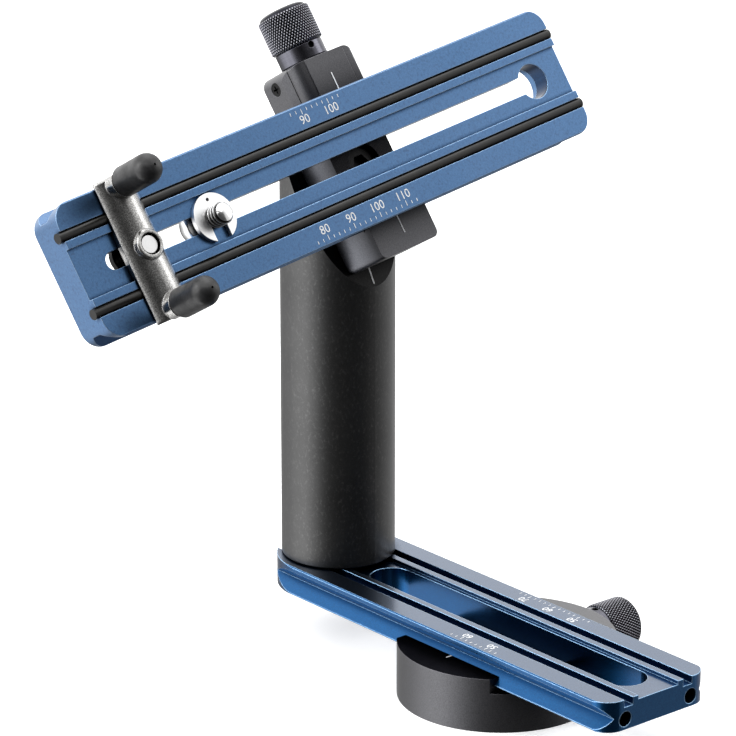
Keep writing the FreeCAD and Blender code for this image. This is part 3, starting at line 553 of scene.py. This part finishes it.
# moulded rubber: mottled, with a soft bloom and fine pitting
def rubberMaterial(name, look):
    made, tree, shader = newMaterial(name)
    grain = placeGrain(tree, look, addNode(tree, "ShaderNodeNewGeometry").outputs["Normal"])
    bloomMask = spread(tree, grain.outputs["Cloud"], 0.0, 1.0, *moulding["bloomCuts"])
    bloom = mixColour(tree, bloomMask, look["dark"], look["light"])
    pitMask = spread(tree, grain.outputs["Grain"], moulding["pitShare"], 0.0, *moulding["pitCuts"])
    feedShader(tree, shader, mixColour(tree, pitMask, bloom, look["dark"]), look["roughness"], grain)
    shader.inputs["IOR"].default_value = look["ior"]
    return made


# marks: laser-bleached dye, and a strip of painted shadow beside a cut line

marks = {
    "paleMark": {"low": (0.62, 0.63, 0.64, 1), "high": (0.92, 0.93, 0.94, 1)},
    "paintedShadowStrip": {"low": grey(0.004), "high": grey(0.015)},
}
marked = {"grain": 3800.0, "cloud": 500.0, "depth": 0.000006, "roughness": (0.55, 0.75)}


def markMaterial(name, look):
    made, tree, shader = newMaterial(name)
    grain = placeGrain(tree, marked, addNode(tree, "ShaderNodeNewGeometry").outputs["Normal"])
    toneMask = spread(tree, grain.outputs["Grain"], 0.0, 1.0)
    colour = mixColour(tree, toneMask, look["low"], look["high"])
    feedShader(tree, shader, colour, marked["roughness"], grain)
    return made


finishes = {name: anodisedMaterial(name, look) for name, look in anodised.items()}
finishes.update({name: rubberMaterial(name, look) for name, look in rubbers.items()})
finishes.update({name: markMaterial(name, look) for name, look in marks.items()})
finishes["castMetal"] = castMaterial()

axes = {
    "acrossRail": (0.0, 1.0, 0.0), "upright": (0.0, 0.0, 1.0),
    "upSlope": slantAxes[1], "outOfFace": slantAxes[2],
}


# a turned finish whose lines run round one node's own axis
def turnedFinish(metal, axis, node):
    name = metal + "_" + node
    if name not in finishes:
        centre = meshPoints(node)
        centre = (centre.min(axis=0) + centre.max(axis=0)) / 2
        finishes[name] = metalMaterial(name, metals[metal], axes[axis], centre)
    return name


dressed = {
    "base_block": "greyBase", "base_moving_jaw": "greyBase", "lower_rail": "blueDrawn",
    "column": "blackAnodised", "upper_clamp_body": "greyAnodised", "upper_moving_jaw": "greyAnodised",
    "camera_plate": "blueBlasted", "rubber_cord_upper": "cordRubber", "rubber_cord_lower": "cordRubber",
    "stop_bar": "castMetal", "horn_cap_upper": "capRubber", "horn_cap_lower": "capRubber",
}
turnedNodes = {
    "tripod_bush": ("turnedSteel", "upright"), "column_screws": ("blackSteel", "upright"),
    "base_guide_pins": ("turnedSteel", "acrossRail"), "base_jaw_bushes": ("turnedBrass", "acrossRail"),
    "base_jaw_spring": ("springSteel", "acrossRail"), "base_spindle": ("turnedSteel", "acrossRail"),
    "base_knob_collar": ("collarMetal", "acrossRail"), "base_knob_set_screw": ("blackSteel", "acrossRail"),
    "swivel_bolt": ("blackSteel", "outOfFace"), "swivel_washer": ("turnedSteel", "outOfFace"),
    "upper_jaw_screw": ("blackSteel", "outOfFace"), "upper_guide_pins": ("turnedSteel", "upSlope"),
    "upper_jaw_bushes": ("turnedBrass", "upSlope"), "upper_jaw_spring": ("springSteel", "upSlope"),
    "upper_spindle": ("turnedSteel", "upSlope"), "upper_knob_collar": ("collarMetal", "upSlope"),
    "upper_knob_set_screw": ("blackSteel", "upSlope"), "stop_screw": ("brightSteel", "outOfFace"),
    "stop_nut": ("blackSteel", "outOfFace"), "retaining_clip": ("clipSatin", "outOfFace"),
}
for nodeName, (metal, axis) in turnedNodes.items():
    dressed[nodeName] = turnedFinish(metal, axis, nodeName)

for nodeName, finishName in dressed.items():
    cadMesh = frame["nodes"][nodeName].data
    cadMesh.materials.clear()
    cadMesh.materials.append(finishes[finishName])


# a further finish on some faces of a node: the choice is given the faces' normals and centres as rows
def finishFaces(name, finishName, choice):
    mesh = frame["nodes"][name].data
    mesh.materials.append(finishes[finishName])
    count = len(mesh.polygons)
    normals, centres, slots = np.empty(count * 3), np.empty(count * 3), np.empty(count, np.int32)
    mesh.polygons.foreach_get("normal", normals)
    mesh.polygons.foreach_get("center", centres)
    mesh.polygons.foreach_get("material_index", slots)
    chosen = choice(normals.reshape(-1, 3), centres.reshape(-1, 3) / mm)
    mesh.polygons.foreach_set("material_index", np.where(chosen, len(mesh.materials) - 1, slots))


# cosines between a face's normal and an axis: along it, nearly so, turned away from it and square to it
facing = {"along": 0.999, "nearly": 0.99, "away": -0.2, "square": 0.1}
baseTopFrom = 15.0      # mm: higher than the seat, lower than the jaw's top
plateLow, plateHigh = nodeOnSlant("camera_plate")
plateMiddle = (plateLow[1] + plateHigh[1]) / 2
slotWalls = {           # mm
    "fromLowEnd": 8.15,                  # from the plate's low end to just short of the slot's
    "slotHalf": 2.7,                     # a little over half the slot's width
    "keyholeFromEnd": 12.35,             # from the plate's high end to the middle of the keyhole
    "keyholeReach": 5.6,                 # a little over the keyhole's radius
}


# the base block's top faces above the seat, which take the darker grey of painted shade
def chooseBaseTop(normals, centres):
    return (normals[:, 2] > facing["nearly"]) & (centres[:, 2] > baseTopFrom)


# the clamp's upright walls that face away from the keyhole's end of the plate; they take the lighter grey
# with painted shade rising towards the plate
def chooseClampEnd(normals, centres):
    return (normals @ slantAxes[0] < facing["away"]) & (np.abs(normals @ slantAxes[2]) < facing["square"])


# the upright walls of the camera plate's slot and of the keyhole at its end; they take the darker blue of
# painted shade
def chooseSlotWalls(normals, centres):
    places = (centres - slantFoot / mm) @ slantAxes.T
    along, fromMiddle = places[:, 0], places[:, 1] - plateMiddle
    keyhole = plateHigh[0] - slotWalls["keyholeFromEnd"]
    inKeyhole = np.hypot(along - keyhole, fromMiddle) < slotWalls["keyholeReach"]
    alongSlot = (along > plateLow[0] + slotWalls["fromLowEnd"]) & (along < keyhole)
    inSlot = alongSlot & (np.abs(fromMiddle) < slotWalls["slotHalf"])
    upright = np.abs(normals @ slantAxes[2]) < facing["square"]
    return upright & (inKeyhole | inSlot)


# the column's slanted top face takes the darker black of painted shade
finishFaces("column", "blackFaceShaded", lambda normals, centres: normals @ slantAxes[2] > facing["along"])
finishFaces("lower_rail", "blueGlazed", lambda normals, centres: normals[:, 2] > facing["nearly"])
finishFaces("lower_rail", "blueEnd", lambda normals, centres: normals[:, 0] > facing["nearly"])
finishFaces("base_block", "greyShaded", chooseBaseTop)
finishFaces("upper_clamp_body", "greyWithShadeRising", chooseClampEnd)
finishFaces("camera_plate", "blueBoreShaded", chooseSlotWalls)
print("finished", len(dressed), "CAD nodes")


# surfaces

# quads between neighbouring rows and columns of a grid whose last column joins its first
def gridFaces(rows, columns):
    row, column = np.meshgrid(np.arange(rows - 1), np.arange(columns), indexing="ij")
    nextColumn = (column + 1) % columns
    corners = [
        row * columns + column, row * columns + nextColumn,
        (row + 1) * columns + nextColumn, (row + 1) * columns + column,
    ]
    return np.stack(corners, axis=-1).reshape(-1, 4)


# a tube of rows with a fan closing each end, turned so that its signed volume is positive
def closedSurface(points):
    rows, columns = points.shape[:2]
    first, last = points[0].mean(axis=0), points[-1].mean(axis=0)
    places = np.vstack([points.reshape(-1, 3), first, last])
    ring = np.arange(columns)
    following = (ring + 1) % columns
    lastRow = (rows - 1) * columns
    lowFan = np.stack([following, ring, np.full(columns, rows * columns)], axis=-1)
    highFan = np.stack([ring + lastRow, following + lastRow, np.full(columns, rows * columns + 1)], axis=-1)
    quads = gridFaces(rows, columns)
    halves = np.vstack([quads[:, [0, 1, 2]], quads[:, [0, 2, 3]], lowFan, highFan])
    a, b, c = (places[halves[:, k]] - first for k in range(3))
    turnedIn = np.einsum("ij,ij->i", a, np.cross(b, c)).sum() < 0
    faces = quads.tolist() + lowFan.tolist() + highFan.tolist()
    if turnedIn:
        faces = [face[::-1] for face in faces]
    return places, faces


# a new piece that rides on a body; the wear-and-shade values are one for each vertex (painted shade in
# grooves at 0, wear at 1), faceFinish a slot for each face
def makePiece(
    name, places, faces, finishNames, body, smooth=True, wearAndShade=None, faceFinish=None,
):
    mesh = bpy.data.meshes.new(name)
    mesh.from_pydata(np.asarray(places).tolist(), [], faces)
    mesh.polygons.foreach_set("use_smooth", [smooth] * len(mesh.polygons))
    for finishName in finishNames:
        mesh.materials.append(finishes[finishName])
    if faceFinish is not None:
        mesh.polygons.foreach_set("material_index", faceFinish)
    if wearAndShade is not None:
        mesh.attributes.new("wearAndShade", "FLOAT", "POINT").data.foreach_set("value", wearAndShade.astype(np.float32))
    mesh.update()
    piece = bpy.data.objects.new(name, mesh)
    bpy.context.scene.collection.objects.link(piece)
    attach(piece, body)
    return piece


# 0 in the groove, 1 on the ridge, straight between them; one wave for each turn of the phase
def triangleWave(phase):
    return 1 - np.abs(2 * (phase / (2 * np.pi) % 1) - 1)


# knurled grips

grip = {
    "radius": 7.65, "length": 10.2, "around": 54, "slopeDegrees": 32.0, "depth": 0.42, "land": 0.66,
    "chamfer": 0.42, "domeHeight": 1.5, "domeShoulder": 0.35, "domePower": 0.45, "domeReach": 0.97,
    "domeWearAndShade": 0.42, "columns": 648, "rows": 128, "domeRows": 14,
}


# A turned grip in its own frame, z along the axis from the foot. Radius: full radius less a V groove where
# either of two opposite helices runs, never more than the chamfer leaves. The end is a flat dome: its
# radius goes with a power of the cosine and its height with the sine of an angle that runs up to its reach.
def knurledGrip():
    turn = np.linspace(0, 2 * np.pi, grip["columns"], endpoint=False)
    height = np.linspace(0, grip["length"], grip["rows"])
    around, along = np.meshgrid(turn, height)
    slope = math.tan(math.radians(grip["slopeDegrees"]))
    wavesPerMm = grip["around"] / (2 * np.pi * grip["radius"]) * slope
    rise = 2 * np.pi * wavesPerMm * along
    ridge = np.minimum(
        triangleWave(grip["around"] * around + rise), triangleWave(grip["around"] * around - rise),
    )
    ridge = np.minimum(ridge / grip["land"], 1)
    knurled = grip["radius"] - grip["depth"] * (1 - ridge)
    fromEnd = np.minimum(along, grip["length"] - along)
    radius = np.minimum(knurled, grip["radius"] - grip["chamfer"] + fromEnd)
    wall = np.stack([radius * np.cos(around), radius * np.sin(around), along], axis=-1)

    neck = grip["radius"] - grip["chamfer"] - grip["domeShoulder"]
    lift = np.linspace(0.0, grip["domeReach"], grip["domeRows"]) * np.pi / 2
    domeRadius = neck * np.cos(lift) ** grip["domePower"]
    domeHeight = grip["length"] + grip["domeHeight"] * np.sin(lift)
    domeTurn, domeR = np.meshgrid(turn, domeRadius)
    _, domeZ = np.meshgrid(turn, domeHeight)
    dome = np.stack([domeR * np.cos(domeTurn), domeR * np.sin(domeTurn), domeZ], axis=-1)
    wearAndShade = np.concatenate([ridge.ravel(), np.full(dome.shape[0] * dome.shape[1] + 2, grip["domeWearAndShade"])])
    return np.concatenate([wall, dome]), wearAndShade


# two directions square to an axis, and the axis, as rows
def turnedFrame(axis):
    side = np.cross(axis, [0.0, 0.0, 1.0])
    side /= np.linalg.norm(side)
    return np.array([side, np.cross(axis, side), axis])


# both grips lie along the y of the frame that they are measured in, with their foot at the lowest y
grips = {
    "base_knurled_grip": {
        "node": "base_knob_grip", "body": "base_knob", "axis": "acrossRail",
        "corners": nodeOnObject, "place": onObject,
    },
    "upper_knurled_grip": {
        "node": "upper_knob_grip", "body": "upper_knob", "axis": "upSlope",
        "corners": nodeOnSlant, "place": onSlant,
    },
}
gripShape, gripWearAndShade = knurledGrip()
for gripName, spot in grips.items():
    low, high = spot["corners"](spot["node"])
    foot = spot["place"]([(low[0] + high[0]) / 2, low[1], (low[2] + high[2]) / 2])
    points = foot + gripShape * mm @ turnedFrame(np.asarray(axes[spot["axis"]]))
    gripPlaces, gripFaces = closedSurface(points)
    gripFinish = turnedFinish("knurledBlack", spot["axis"], spot["node"])
    piece = makePiece(
        gripName, gripPlaces, gripFaces, [gripFinish], spot["body"], wearAndShade=gripWearAndShade,
    )
    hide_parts(spot["node"])
print("grips knurled")


# camera screw with its thread

screw = {
    "pitch": 1.27, "crest": 3.175, "threadDepth": 0.72, "neck": 2.45, "head": 4.75, "headHeight": 4.3,
    "flankSteepness": 1.7, "flankStart": 0.45, "endCone": 0.55, "socketFlats": 5.0, "socketDepth": 2.4,
    "socketHub": 0.05, "break": 0.35, "clipGap": 0.05, "neckGap": 0.01, "columns": 120, "rowsPerPitch": 18,
    "headWearAndShade": 0.9, "neckWearAndShade": 0.06, "wearAndShadePower": 2.2,
}


# A profile spun about the screw's axis. In the thread the radius follows a flat-topped wave of
# (height / pitch - turn), cut down by the cone at the tip; the socket's wall is a hexagon.
def cameraScrew(low, high, threadLow, centre):
    turn = np.linspace(0, 2 * np.pi, screw["columns"], endpoint=False)
    sector = np.pi / 3
    hexagon = screw["socketFlats"] / 2 / np.cos((turn + sector / 2) % sector - sector / 2)
    top = low + screw["headHeight"]
    floor = low + screw["socketDepth"]
    rim, edge = screw["head"], screw["break"]
    headRings = [
        (hexagon * screw["socketHub"], floor), (hexagon, floor), (hexagon, low),
        (rim - edge, low), (rim, low + edge), (rim, top - edge), (rim - edge, top),
    ]
    neckRings = [(screw["neck"], top), (screw["neck"], threadLow)]
    rows = [
        np.stack([radius * np.cos(turn), radius * np.sin(turn), np.full_like(turn, height)], axis=-1)
        for radius, height in headRings + neckRings
    ]
    count = int((high - threadLow) / screw["pitch"] * screw["rowsPerPitch"])
    around, along = np.meshgrid(turn, np.linspace(threadLow + screw["neckGap"], high, count))
    wave = triangleWave(2 * np.pi * along / screw["pitch"] - around)
    flanked = np.clip(wave * screw["flankSteepness"] - screw["flankStart"], 0, 1)
    radius = screw["crest"] - screw["threadDepth"] * (1 - flanked)
    radius = np.minimum(radius, screw["crest"] - screw["endCone"] + (high - along))
    thread = np.stack([radius * np.cos(around), radius * np.sin(around), along], axis=-1)
    # the head worn bright, the neck nearly as dark as a groove's painted shade, and crests worn bright over
    # the shaded grooves
    wearAndShadeRings = [screw["headWearAndShade"]] * len(headRings) + [screw["neckWearAndShade"]] * len(neckRings)
    wearAndShade = np.concatenate([
        np.repeat(wearAndShadeRings, screw["columns"]), (flanked[:-1] ** screw["wearAndShadePower"]).ravel(),
        np.ones(screw["columns"] + 2),
    ])
    return np.concatenate([np.array(rows), thread]) + [centre[0], centre[1], 0], wearAndShade


screwLow, screwHigh = nodeOnSlant("camera_screw")
threadLow = nodeOnSlant("retaining_clip")[1][2] + screw["clipGap"]
screwShape, screwWearAndShade = cameraScrew(screwLow[2], screwHigh[2], threadLow, (screwLow + screwHigh) / 2)
screwPlaces, screwFaces = closedSurface(onSlant(screwShape))
threadedScrew = makePiece(
    "threaded_camera_screw", screwPlaces, screwFaces,
    [turnedFinish("screwSteel", "outOfFace", "camera_screw")],
    "camera_screw", wearAndShade=screwWearAndShade,
)
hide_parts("camera_screw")
print("camera screw threaded")


# marks on the faces: a small scale of plain numbers on each land, and index lines

marking = {
    "thickness": 0.03, "lift": 0.004, "capShare": 0.70, "lineWidth": 0.36, "shadowStripWidth": 0.24,
    "tickWidth": 0.20, "shortTick": 0.9, "longTick": 1.5, "tickEvery": 2, "longEvery": 10, "overrun": 4,
}


# a thin box about a middle, as corners and outward quads
def flatBar(middle, width, length):
    corners = np.array([[x, y, z] for z in (0, 1) for y in (-0.5, 0.5) for x in (-0.5, 0.5)])
    corners = corners * [width, length, marking["thickness"]] + [middle[0], middle[1], marking["lift"]]
    quads = [[0, 2, 3, 1], [4, 5, 7, 6], [0, 1, 5, 4], [2, 6, 7, 3], [0, 4, 6, 2], [1, 3, 7, 5]]
    return corners, quads


# a number as a thin solid about zero, its caps as high as asked, in millimetres
def flatNumber(text, height):
    outline = bpy.data.curves.new("number", "FONT")
    outline.body = text
    outline.align_x = "CENTER"
    outline.align_y = "CENTER"
    outline.size = height / marking["capShare"]
    outline.extrude = marking["thickness"] / 2
    outline.resolution_u = 3
    written = bpy.data.objects.new("number", outline)
    bpy.context.scene.collection.objects.link(written)
    bpy.context.view_layer.update()
    mesh = bpy.data.meshes.new_from_object(written)
    places = np.empty(len(mesh.vertices) * 3)
    mesh.vertices.foreach_get("co", places)
    mesh.calc_loop_triangles()
    faces = np.empty(len(mesh.loop_triangles) * 3, int)
    mesh.loop_triangles.foreach_get("vertices", faces)
    bpy.data.objects.remove(written)
    bpy.data.curves.remove(outline)
    bpy.data.meshes.remove(mesh)
    lifted = places.reshape(-1, 3) + [0, 0, marking["thickness"] / 2 + marking["lift"]]
    return lifted, faces.reshape(-1, 3).tolist()


# several small solids joined into one list of vertices and one of faces
def joined(shapes):
    places, faces, count = [], [], 0
    for shapePlaces, shapeFaces in shapes:
        places.append(shapePlaces)
        faces += [[corner + count for corner in face] for face in shapeFaces]
        count += len(shapePlaces)
    return np.vstack(places), faces


# Numbers and ticks along a land. A number stands for its distance from the end that the scale counts from,
# and the ticks overrun the numbers at both ends. "reads" is 1 for numbers read along +x and -1 along -x.
def landScale(scale):
    shapes = []
    reads = scale["reads"]
    for number in scale["numbers"]:
        places, faces = flatNumber(str(number), scale["height"])
        middle = [scale["zero"] + scale["counts"] * number, scale["numberAt"], 0]
        shapes.append((places * [reads, reads, 1] + middle, faces))
    low, high = min(scale["numbers"]) - marking["overrun"], max(scale["numbers"]) + marking["overrun"]
    for number in range(low, high + 1, marking["tickEvery"]):
        length = marking["shortTick"] if number % marking["longEvery"] else marking["longTick"]
        middle = (scale["zero"] + scale["counts"] * number, scale["edge"] - scale["inwards"] * length / 2)
        shapes.append(flatBar(middle, marking["tickWidth"], length))
    places, faces = joined(shapes)
    return places + [0, 0, scale["level"]], faces


railHigh = nodeOnObject("lower_rail")[1]
numbersFromMiddle = 14.9                      # mm
landEdge = {"plate": 18.0, "rail": 17.9}      # mm from the middle to the outer ends of the ticks
onPlate = {
    "body": "plate", "place": onSlant, "level": plateHigh[2], "zero": plateLow[0], "counts": 1,
    "reads": 1, "height": 2.5,
}
onRail = {
    "body": "rail", "place": onObject, "level": railHigh[2], "zero": railHigh[0], "counts": -1,
    "reads": -1, "height": 2.2,
}
scales = {
    "plate_scale_lower": dict(
        onPlate, numbers=(80, 90, 100, 110), numberAt=plateMiddle - numbersFromMiddle,
        edge=plateMiddle - landEdge["plate"], inwards=-1,
    ),
    "plate_scale_upper": dict(
        onPlate, numbers=(90, 100), numberAt=plateMiddle + numbersFromMiddle,
        edge=plateMiddle + landEdge["plate"], inwards=1,
    ),
    "rail_scale_far": dict(
        onRail, numbers=(50, 60, 70), numberAt=numbersFromMiddle, edge=landEdge["rail"], inwards=1,
    ),
    "rail_scale_near": dict(
        onRail, numbers=(50, 60), numberAt=-numbersFromMiddle, edge=-landEdge["rail"], inwards=-1,
    ),
}
for scaleName, scale in scales.items():
    scalePlaces, scaleFaces = landScale(scale)
    makePiece(
        scaleName, scale["place"](scalePlaces), scaleFaces, ["paleMark"], scale["body"], smooth=False,
    )

# Index lines: middle of the line and its length, on a level face, turned about the frame's z. Each is a
# pale bottom beside a strip of painted shadow.
jawHigh = nodeOnSlant("upper_moving_jaw")[1][2]
fixedHigh = nodeOnSlant("upper_clamp_body")[1][2]
baseHigh = nodeOnObject("base_block")[1][2]
restTurn = math.atan2(slantAxes[0][2], slantAxes[1][2])      # of the clamp on the slanted face
indexLines = {
    "upper_jaw_index": {
        "body": "upper_jaw", "place": onSlant, "middle": (0.4, 23.6), "length": 6.0, "level": jawHigh,
    },
    "fixed_jaw_index": {
        "body": "upper_clamp", "place": onSlant, "middle": (0.0, -19.9), "length": 5.2, "level": fixedHigh,
    },
    "slanted_face_index": {
        "body": "rail", "place": onSlant, "middle": (0.0, -29.7), "length": 4.6, "level": 0,
        "turn": -restTurn, "width": 0.5,
    },
    "base_jaw_index": {
        "body": "base", "place": onObject, "middle": (0.0, -18.5), "length": 2.0, "level": baseHigh,
    },
}
for lineName, line in indexLines.items():
    pale, dark = line.get("width", marking["lineWidth"]), marking["shadowStripWidth"]
    x, y = line["middle"]
    paleBar = flatBar((x, y), pale, line["length"])
    shadowBar = flatBar((x - (pale + dark) / 2, y), dark, line["length"])
    linePlaces, lineFaces = joined([paleBar, shadowBar])
    cosine, sine = math.cos(line.get("turn", 0)), math.sin(line.get("turn", 0))
    turning = np.array([[cosine, sine, 0], [-sine, cosine, 0], [0, 0, 1]])
    linePlaces = linePlaces @ turning + [0, 0, line["level"]]
    makePiece(
        lineName, line["place"](linePlaces), lineFaces, ["paleMark", "paintedShadowStrip"], line["body"],
        smooth=False, faceFinish=[0] * len(paleBar[1]) + [1] * len(shadowBar[1]),
    )
print("marks made:", len(scales), "scales and", len(indexLines), "index lines")


# floor and room

room = {
    "floorHalf": 6.0,                    # m
    "floorColour": (0.86, 0.86, 0.86, 1),
    "floorRoughness": 0.7,
    "floorGlow": 0.35,
    "strength": 2.6,                     # where a share below is 1
    # turn from the camera to its right in degrees, and share of the full strength
    "low": ((-180, 0.20), (-146, 0.12), (-116, 0.31), (-93, 0.74), (-69, 1.02), (-50, 0.50), (-27, 0.05),
            (0, 0.03), (40, 0.03), (62, 0.04), (88, 0.11), (105, 0.20), (180, 0.20)),
    "high": ((-180, 0.54), (-116, 0.80), (-71, 1.35), (-50, 1.25), (-36, 0.45), (-26, 0.08), (0, 0.02),
             (60, 0.05), (76, 0.31), (94, 0.52), (112, 0.51), (136, 0.47), (160, 0.50), (180, 0.54)),
    "overhead": 0.85,
    "blend": (-0.22, 0.0),               # rise over which the low band gives way to the high one
    "overheadBlend": (0.58, 0.80),       # and the high one to the overhead light
}


def makeFloor():
    half = room["floorHalf"]
    corners = [(-half, -half, 0), (half, -half, 0), (half, half, 0), (-half, half, 0)]
    mesh = bpy.data.meshes.new("studioFloor")
    mesh.from_pydata(corners, [], [(0, 1, 2, 3)])
    made, tree, shader = newMaterial("paleFloor")
    shader.inputs["Base Color"].default_value = room["floorColour"]
    shader.inputs["Roughness"].default_value = room["floorRoughness"]
    shader.inputs["Emission Color"].default_value = grey(1)
    shader.inputs["Emission Strength"].default_value = room["floorGlow"]
    mesh.materials.append(made)
    floor = bpy.data.objects.new("studioFloor", mesh)
    bpy.context.scene.collection.objects.link(floor)
    floor.visible_glossy = False
    floor.visible_diffuse = False
    floor.visible_shadow = False


# a ramp of brightness round the room, over the turn as a share of a full circle
def roundRoom(tree, share, stops):
    ramp = addNode(tree, "ShaderNodeValToRGB", {"Fac": share})
    ramp.color_ramp.interpolation = "EASE"
    points = ramp.color_ramp.elements
    points.remove(points[1])
    points[0].position, points[0].color = 0.0, grey(stops[0][1])
    for turn, level in stops[1:]:
        points.new((turn + 180) / 360).color = grey(level)
    return ramp.outputs["Color"]


# light from all round: each band of the room has its own brightness for each turn from the camera
def makeRoom():
    world = bpy.data.worlds.new("studioRoom")
    world.use_nodes = True
    tree = world.node_tree
    background = tree.nodes["Background"]
    direction = addNode(tree, "ShaderNodeTexCoord").outputs["Generated"]
    front = Vector((towardsCamera.x, towardsCamera.y, 0)).normalized()
    side = Vector((-front.y, front.x, 0))
    turn = addMath(tree, "ARCTAN2", dot(tree, direction, tuple(side)), dot(tree, direction, tuple(front)))
    share = spread(tree, turn, 0.0, 1.0, -math.pi, math.pi)
    rise = addNode(tree, "ShaderNodeSeparateXYZ", {0: direction}).outputs["Z"]
    height = spread(tree, rise, 0.0, 1.0, *room["blend"])
    colour = mixColour(
        tree, height, roundRoom(tree, share, room["low"]), roundRoom(tree, share, room["high"]),
    )
    above = spread(tree, rise, 0.0, 1.0, *room["overheadBlend"])
    tree.links.new(mixColour(tree, above, colour, grey(room["overhead"])), background.inputs["Color"])
    background.inputs["Strength"].default_value = room["strength"]
    bpy.context.scene.world = world


makeFloor()
makeRoom()
bpy.context.scene.view_settings.view_transform = "Standard"
print("floor and room set")
